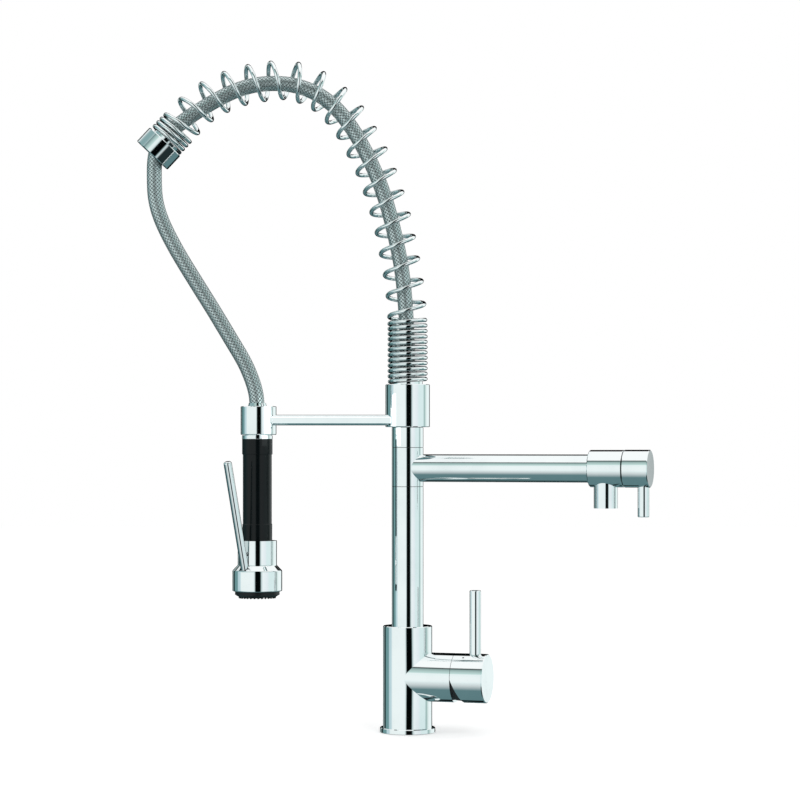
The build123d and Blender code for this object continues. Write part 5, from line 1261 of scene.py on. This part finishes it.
@dataclass
class Studio:
    """The camera, the floor, the lamps and the surround that polish reflects.

    To polish, the surround is a ring of panels round the object and another over and under it. Each is a
    list of angles with their colours. An angle is 0 at the front, where the camera stands, and counts to
    the right in the ring round the object, and upwards in the other.

    Attributes:
        camera_place: Where the camera stands.
        lens: The camera's focal length in millimetres.
        sensor: The width of the camera's sensor in millimetres.
        shift: How far the view is shifted up, as a share of the picture's width.
        view_reach: How far the camera sees.
        floor_size: The side of the floor.
        floor_drop: How far the floor lies below the object's foot.
        floor_albedo: How pale the floor is.
        floor_specks: How the floor's faint specks lie.
        floor_speck_gain: How much paler the floor is at a speck.
        floor_roughness: The floor's roughness.
        floor_lift: What lifts the floor to white where it is seen.
        daylight: How bright the surround is to matt surfaces.
        over_rises: How far from level, up or down, the ring over the object starts and is full.
        round_rises: How far from level the ring round the object starts to fade and is gone.
        gap_rises: How far from level the front's dark gap starts to fade and is gone.
        round_stops: The ring round the object.
        front_gap_stops: The front's dark gap, which darkens both rings.
        over_stops: The ring over the object.
        patches: The parts of the surround that cover the rings.
        strip_lamps: The lamps that only polish shows.
        strip_power: The watts of a square metre of strip lamp whose colour is white.
        soft_lamps: The lamps that polish doesn't show.
        lamp_aim: The point that the soft lamps face.
    """

    camera_place: Point = (-0.0076, -2.4, 0.2868)
    lens: float = 108.0
    sensor: float = 36.0
    shift: float = 0.05625
    view_reach: float = 60.0
    floor_size: float = 12.0
    floor_drop: float = 0.0003
    floor_albedo: float = 0.86
    floor_specks: Grain = Grain(30.0)
    floor_speck_gain: float = 0.02
    floor_roughness: float = 0.9
    floor_lift: float = 0.34
    daylight: float = 0.78
    over_rises: Span = (7.0, 15.0)
    round_rises: Span = (16.0, 34.0)
    gap_rises: Span = (56.0, 72.0)
    round_stops: AngleStops = (
        (-180.0, screen(60, 70, 70)),
        (-167.0, screen(62, 72, 72)),
        (-163.0, screen(190, 210, 210)),
        (-147.0, screen(190, 210, 210)),
        (-142.0, screen(40, 55, 55)),
        (-127.0, screen(30, 50, 50)),
        (-121.0, screen(110, 150, 152)),
        (-101.0, screen(110, 150, 152)),
        (-95.0, screen(190, 214, 220)),
        (-84.0, screen(190, 214, 220)),
        (-76.0, screen(240, 248, 247)),
        (30.0, screen(240, 247, 248)),
        (50.0, screen(232, 239, 243)),
        (62.0, screen(220, 238, 238)),
        (88.0, screen(220, 238, 238)),
        (98.0, screen(150, 180, 177)),
        (107.0, screen(208, 225, 222)),
        (120.0, screen(240, 250, 250)),
        (149.0, screen(240, 250, 250)),
        (153.0, screen(20, 28, 28)),
        (180.0, screen(30, 38, 38)),
    )
    front_gap_stops: AngleStops = (
        (-14.0, screen(255, 255, 255)),
        (-9.0, screen(218, 226, 226)),
        (-5.5, screen(30, 38, 38)),
        (-4.0, screen(3, 6, 6)),
        (16.5, screen(3, 6, 6)),
        (19.0, screen(90, 104, 104)),
        (22.0, screen(206, 216, 216)),
        (30.0, screen(255, 255, 255)),
    )
    over_stops: AngleStops = (
        (-180.0, screen(92, 124, 128)),
        (-60.0, screen(96, 128, 132)),
        (-17.0, screen(250, 253, 253)),
        (23.0, screen(250, 253, 253)),
        (28.0, screen(200, 224, 220)),
        (48.0, screen(140, 165, 162)),
        (50.0, screen(70, 80, 80)),
        (54.0, screen(70, 80, 80)),
        (57.0, screen(252, 255, 255)),
        (166.0, screen(252, 255, 255)),
        (180.0, screen(250, 253, 253)),
    )
    patches: Sequence[Patch] = (
        # Dusk at the upper left.
        Patch(screen(138, 170, 172), [{"-x": (0.50, 0.72), "+z": (0.30, 0.45)}]),
        # Dusk at the lower right, in front.
        Patch(
            screen(34, 46, 48), [{"+x": (0.28, 0.45), "-z": (0.34, 0.46), "-y": (-0.15, -0.05)}]
        ),
        # The dark at the back: straight behind the object, above that, and narrow below it.
        Patch(
            screen(3, 7, 7),
            [
                {"+y": (0.87, 0.92)},
                {"+y": (0.66, 0.72), "+z": (0.30, 0.42)},
                {"+x": (-0.18, -0.13), "-x": (-0.02, 0.02), "+y": (0.50, 0.60), "-z": (0.54, 0.64)},
            ],
        ),
    )
    strip_lamps: Sequence[StripLamp] = (
        StripLamp("arm_strip_lamp", (-0.0775, -0.021, 0.312), 0.123, 0.052, screen(238, 246, 246)),
    )
    strip_power: float = pi
    soft_lamps: Sequence[SoftLamp] = (
        SoftLamp("key_lamp", (0.9, -1.5, 1.5), 1.1, 8.0),
        SoftLamp("fill_lamp", (-1.5, -0.9, 0.9), 1.0, 3.0),
    )
    lamp_aim: Point = (-0.02, 0.0, 0.33)

    def place_camera(self) -> None:
        """Sets up the camera as the photograph was taken: from far off, level, straight on."""
        data = bpy.data.cameras.new("photo_camera")
        data.sensor_width = self.sensor
        data.lens = self.lens
        data.shift_y = self.shift
        data.clip_end = self.view_reach
        camera = put_in_scene("photo_camera", data)
        camera.location = self.camera_place
        camera.rotation_euler = LEVEL_TO_THE_BACK
        bpy.context.scene.camera = camera

    def floor_white(self) -> bpy.types.Material:
        """Makes the floor's white, lifted where it is seen, as the white round it is brighter.

        Returns:
            The material.
        """
        material = bpy.data.materials.new("floor_white")
        material.use_nodes = True
        sheet = NodeSheet(material.node_tree)
        seen = sheet.ray_is("Camera", "Glossy", "Transmission")
        specks = sheet.noise(sheet.place(), self.floor_specks)
        ground = (self.floor_albedo,) * 3
        speck = (self.floor_albedo + self.floor_speck_gain,) * 3
        surface = sheet.value(
            "ShaderNodeBsdfPrincipled",
            {},
            {
                "Base Color": sheet.mix(specks, ground, speck),
                "Roughness": self.floor_roughness,
                "Specular IOR Level": 0.0,
                "Emission Color": sheet.mix(seen, BLACK, WHITE),
                "Emission Strength": self.floor_lift,
            },
        )
        sheet.node("ShaderNodeOutputMaterial", {}, {"Surface": surface})
        return material

    def lay_floor(self) -> None:
        """Lays the plain white floor, which keeps the object's shadow and stays out of the polish."""
        mesh = bpy.data.meshes.new("floor")
        half = self.floor_size / 2.0
        corners = [(-half, -half, 0.0), (half, -half, 0.0), (half, half, 0.0), (-half, half, 0.0)]
        mesh.from_pydata(corners, [], [(0, 1, 2, 3)])
        mesh.materials.append(self.floor_white())
        floor = put_in_scene("floor", mesh)
        floor.location = (0.0, 0.0, -self.floor_drop)
        floor.visible_glossy = False

    def stand_strip_lamp(self, strip: StripLamp) -> None:
        """Stands a strip lamp.

        Args:
            strip: The lamp.
        """
        brightest = max(strip.colour)
        data = bpy.data.lights.new(strip.name, "AREA")
        data.shape = "RECTANGLE"
        data.size = strip.width
        data.size_y = strip.height
        data.color = tuple(channel / brightest for channel in strip.colour)
        data.energy = self.strip_power * strip.width * strip.height * brightest
        lamp = put_in_scene(strip.name, data)
        lamp.location = strip.centre
        lamp.rotation_euler = LEVEL_TO_THE_BACK
        lamp.visible_camera = False
        lamp.visible_diffuse = False
        lamp.visible_transmission = False

    def hang_soft_lamp(self, soft: SoftLamp) -> None:
        """Hangs a soft lamp.

        Args:
            soft: The lamp.
        """
        data = bpy.data.lights.new(soft.name, "AREA")
        data.shape = "SQUARE"
        data.size = soft.side
        data.energy = soft.watts
        lamp = put_in_scene(soft.name, data)
        lamp.location = soft.place
        aim = Vector(self.lamp_aim) - Vector(soft.place)
        lamp.rotation_euler = aim.to_track_quat("-Z", "Y").to_euler()
        lamp.visible_glossy = False

    def panels(self, sheet: NodeSheet) -> Value:
        """Writes the surround as polish reflects it.

        Args:
            sheet: The world's nodes.

        Returns:
            The colour in each direction.
        """

        def turned(side: str) -> Value:
            """Gives the angle from the front towards a side, as a share of a turn, plus a half."""
            return sheet.maths("ARCTAN2", reach[side], reach["-y"]) * (1.0 / tau) + 0.5

        def ring(stops: AngleStops, angle: Value) -> Value:
            """Reads the colour of a ring, from -180 to 180 degrees, at such an angle."""
            shares = [((degree + 180.0) / 360.0, colour) for degree, colour in stops]
            return sheet.value("ShaderNodeValToRGB", {"stops": shares}, {0: angle})

        direction = sheet.value("ShaderNodeTexCoord", output="Generated")
        split = sheet.node("ShaderNodeSeparateXYZ", {}, {0: direction})
        reach = {"+" + axis.lower(): Value(sheet, split.outputs[axis]) for axis in "XYZ"}
        reach.update({"-" + axis: 0.0 - reach["+" + axis] for axis in "xyz"})
        turn = turned("+x")
        rise = abs(sheet.maths("ARCSINE", reach["+z"])) * degrees(1.0)
        over_ring = ring(self.over_stops, turned("+z"))
        round_ring = ring(self.round_stops, turn)
        front_gap = ring(self.front_gap_stops, turn)
        colour = sheet.tinted(
            sheet.mix(rise.step_up(*self.over_rises), WHITE, over_ring),
            sheet.mix(rise.step_up(*self.round_rises), round_ring, WHITE),
        )
        colour = sheet.tinted(colour, sheet.mix(rise.step_up(*self.gap_rises), front_gap, WHITE))
        for patch in self.patches:
            colour = sheet.mix(patch.mask(reach), colour, patch.colour)
        return colour

    def light_world(self) -> None:
        """Lights the surround: white to the camera, daylight to matt surfaces and panels to polish."""
        world = bpy.data.worlds.new("studio_surround")
        world.use_nodes = True
        bpy.context.scene.world = world
        sheet = NodeSheet(world.node_tree)
        polish = sheet.ray_is("Glossy", "Transmission")
        matt_or_polish = sheet.mix(polish, (self.daylight,) * 3, self.panels(sheet))
        seen = sheet.mix(sheet.ray_is("Camera"), matt_or_polish, WHITE)
        glow = sheet.value("ShaderNodeBackground", {}, {"Color": seen, "Strength": 1.0})
        sheet.node("ShaderNodeOutputWorld", {}, {"Surface": glow})

    def build(self) -> None:
        """Sets up the floor, the lamps and the surround."""
        bpy.context.scene.view_settings.view_transform = "Standard"
        self.lay_floor()
        for strip in self.strip_lamps:
            self.stand_strip_lamp(strip)
        self.light_world()
        for soft in self.soft_lamps:
            self.hang_soft_lamp(soft)
        logger.info("studio set up, %d strip lamps", len(self.strip_lamps))


# ---------------------------------------------------------------- making the scene


def main() -> None:
    """Loads the frame, dresses every sub-assembly and sets up the studio."""
    logging.basicConfig(level=logging.INFO, format="%(message)s")
    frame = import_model()
    studio = Studio()
    studio.place_camera()
    shelf = FinishShelf()
    arm = SpringArm(shelf)
    arm.dress(frame["nodes"])
    arm.weave_hanging_hose()
    arm.weave_arch_hose()
    for assembly in (MixerBase(shelf), Column(shelf), Spout(shelf), HandSpray(shelf)):
        assembly.dress(frame["nodes"])
    studio.build()


if __name__ == "__main__":
    main()
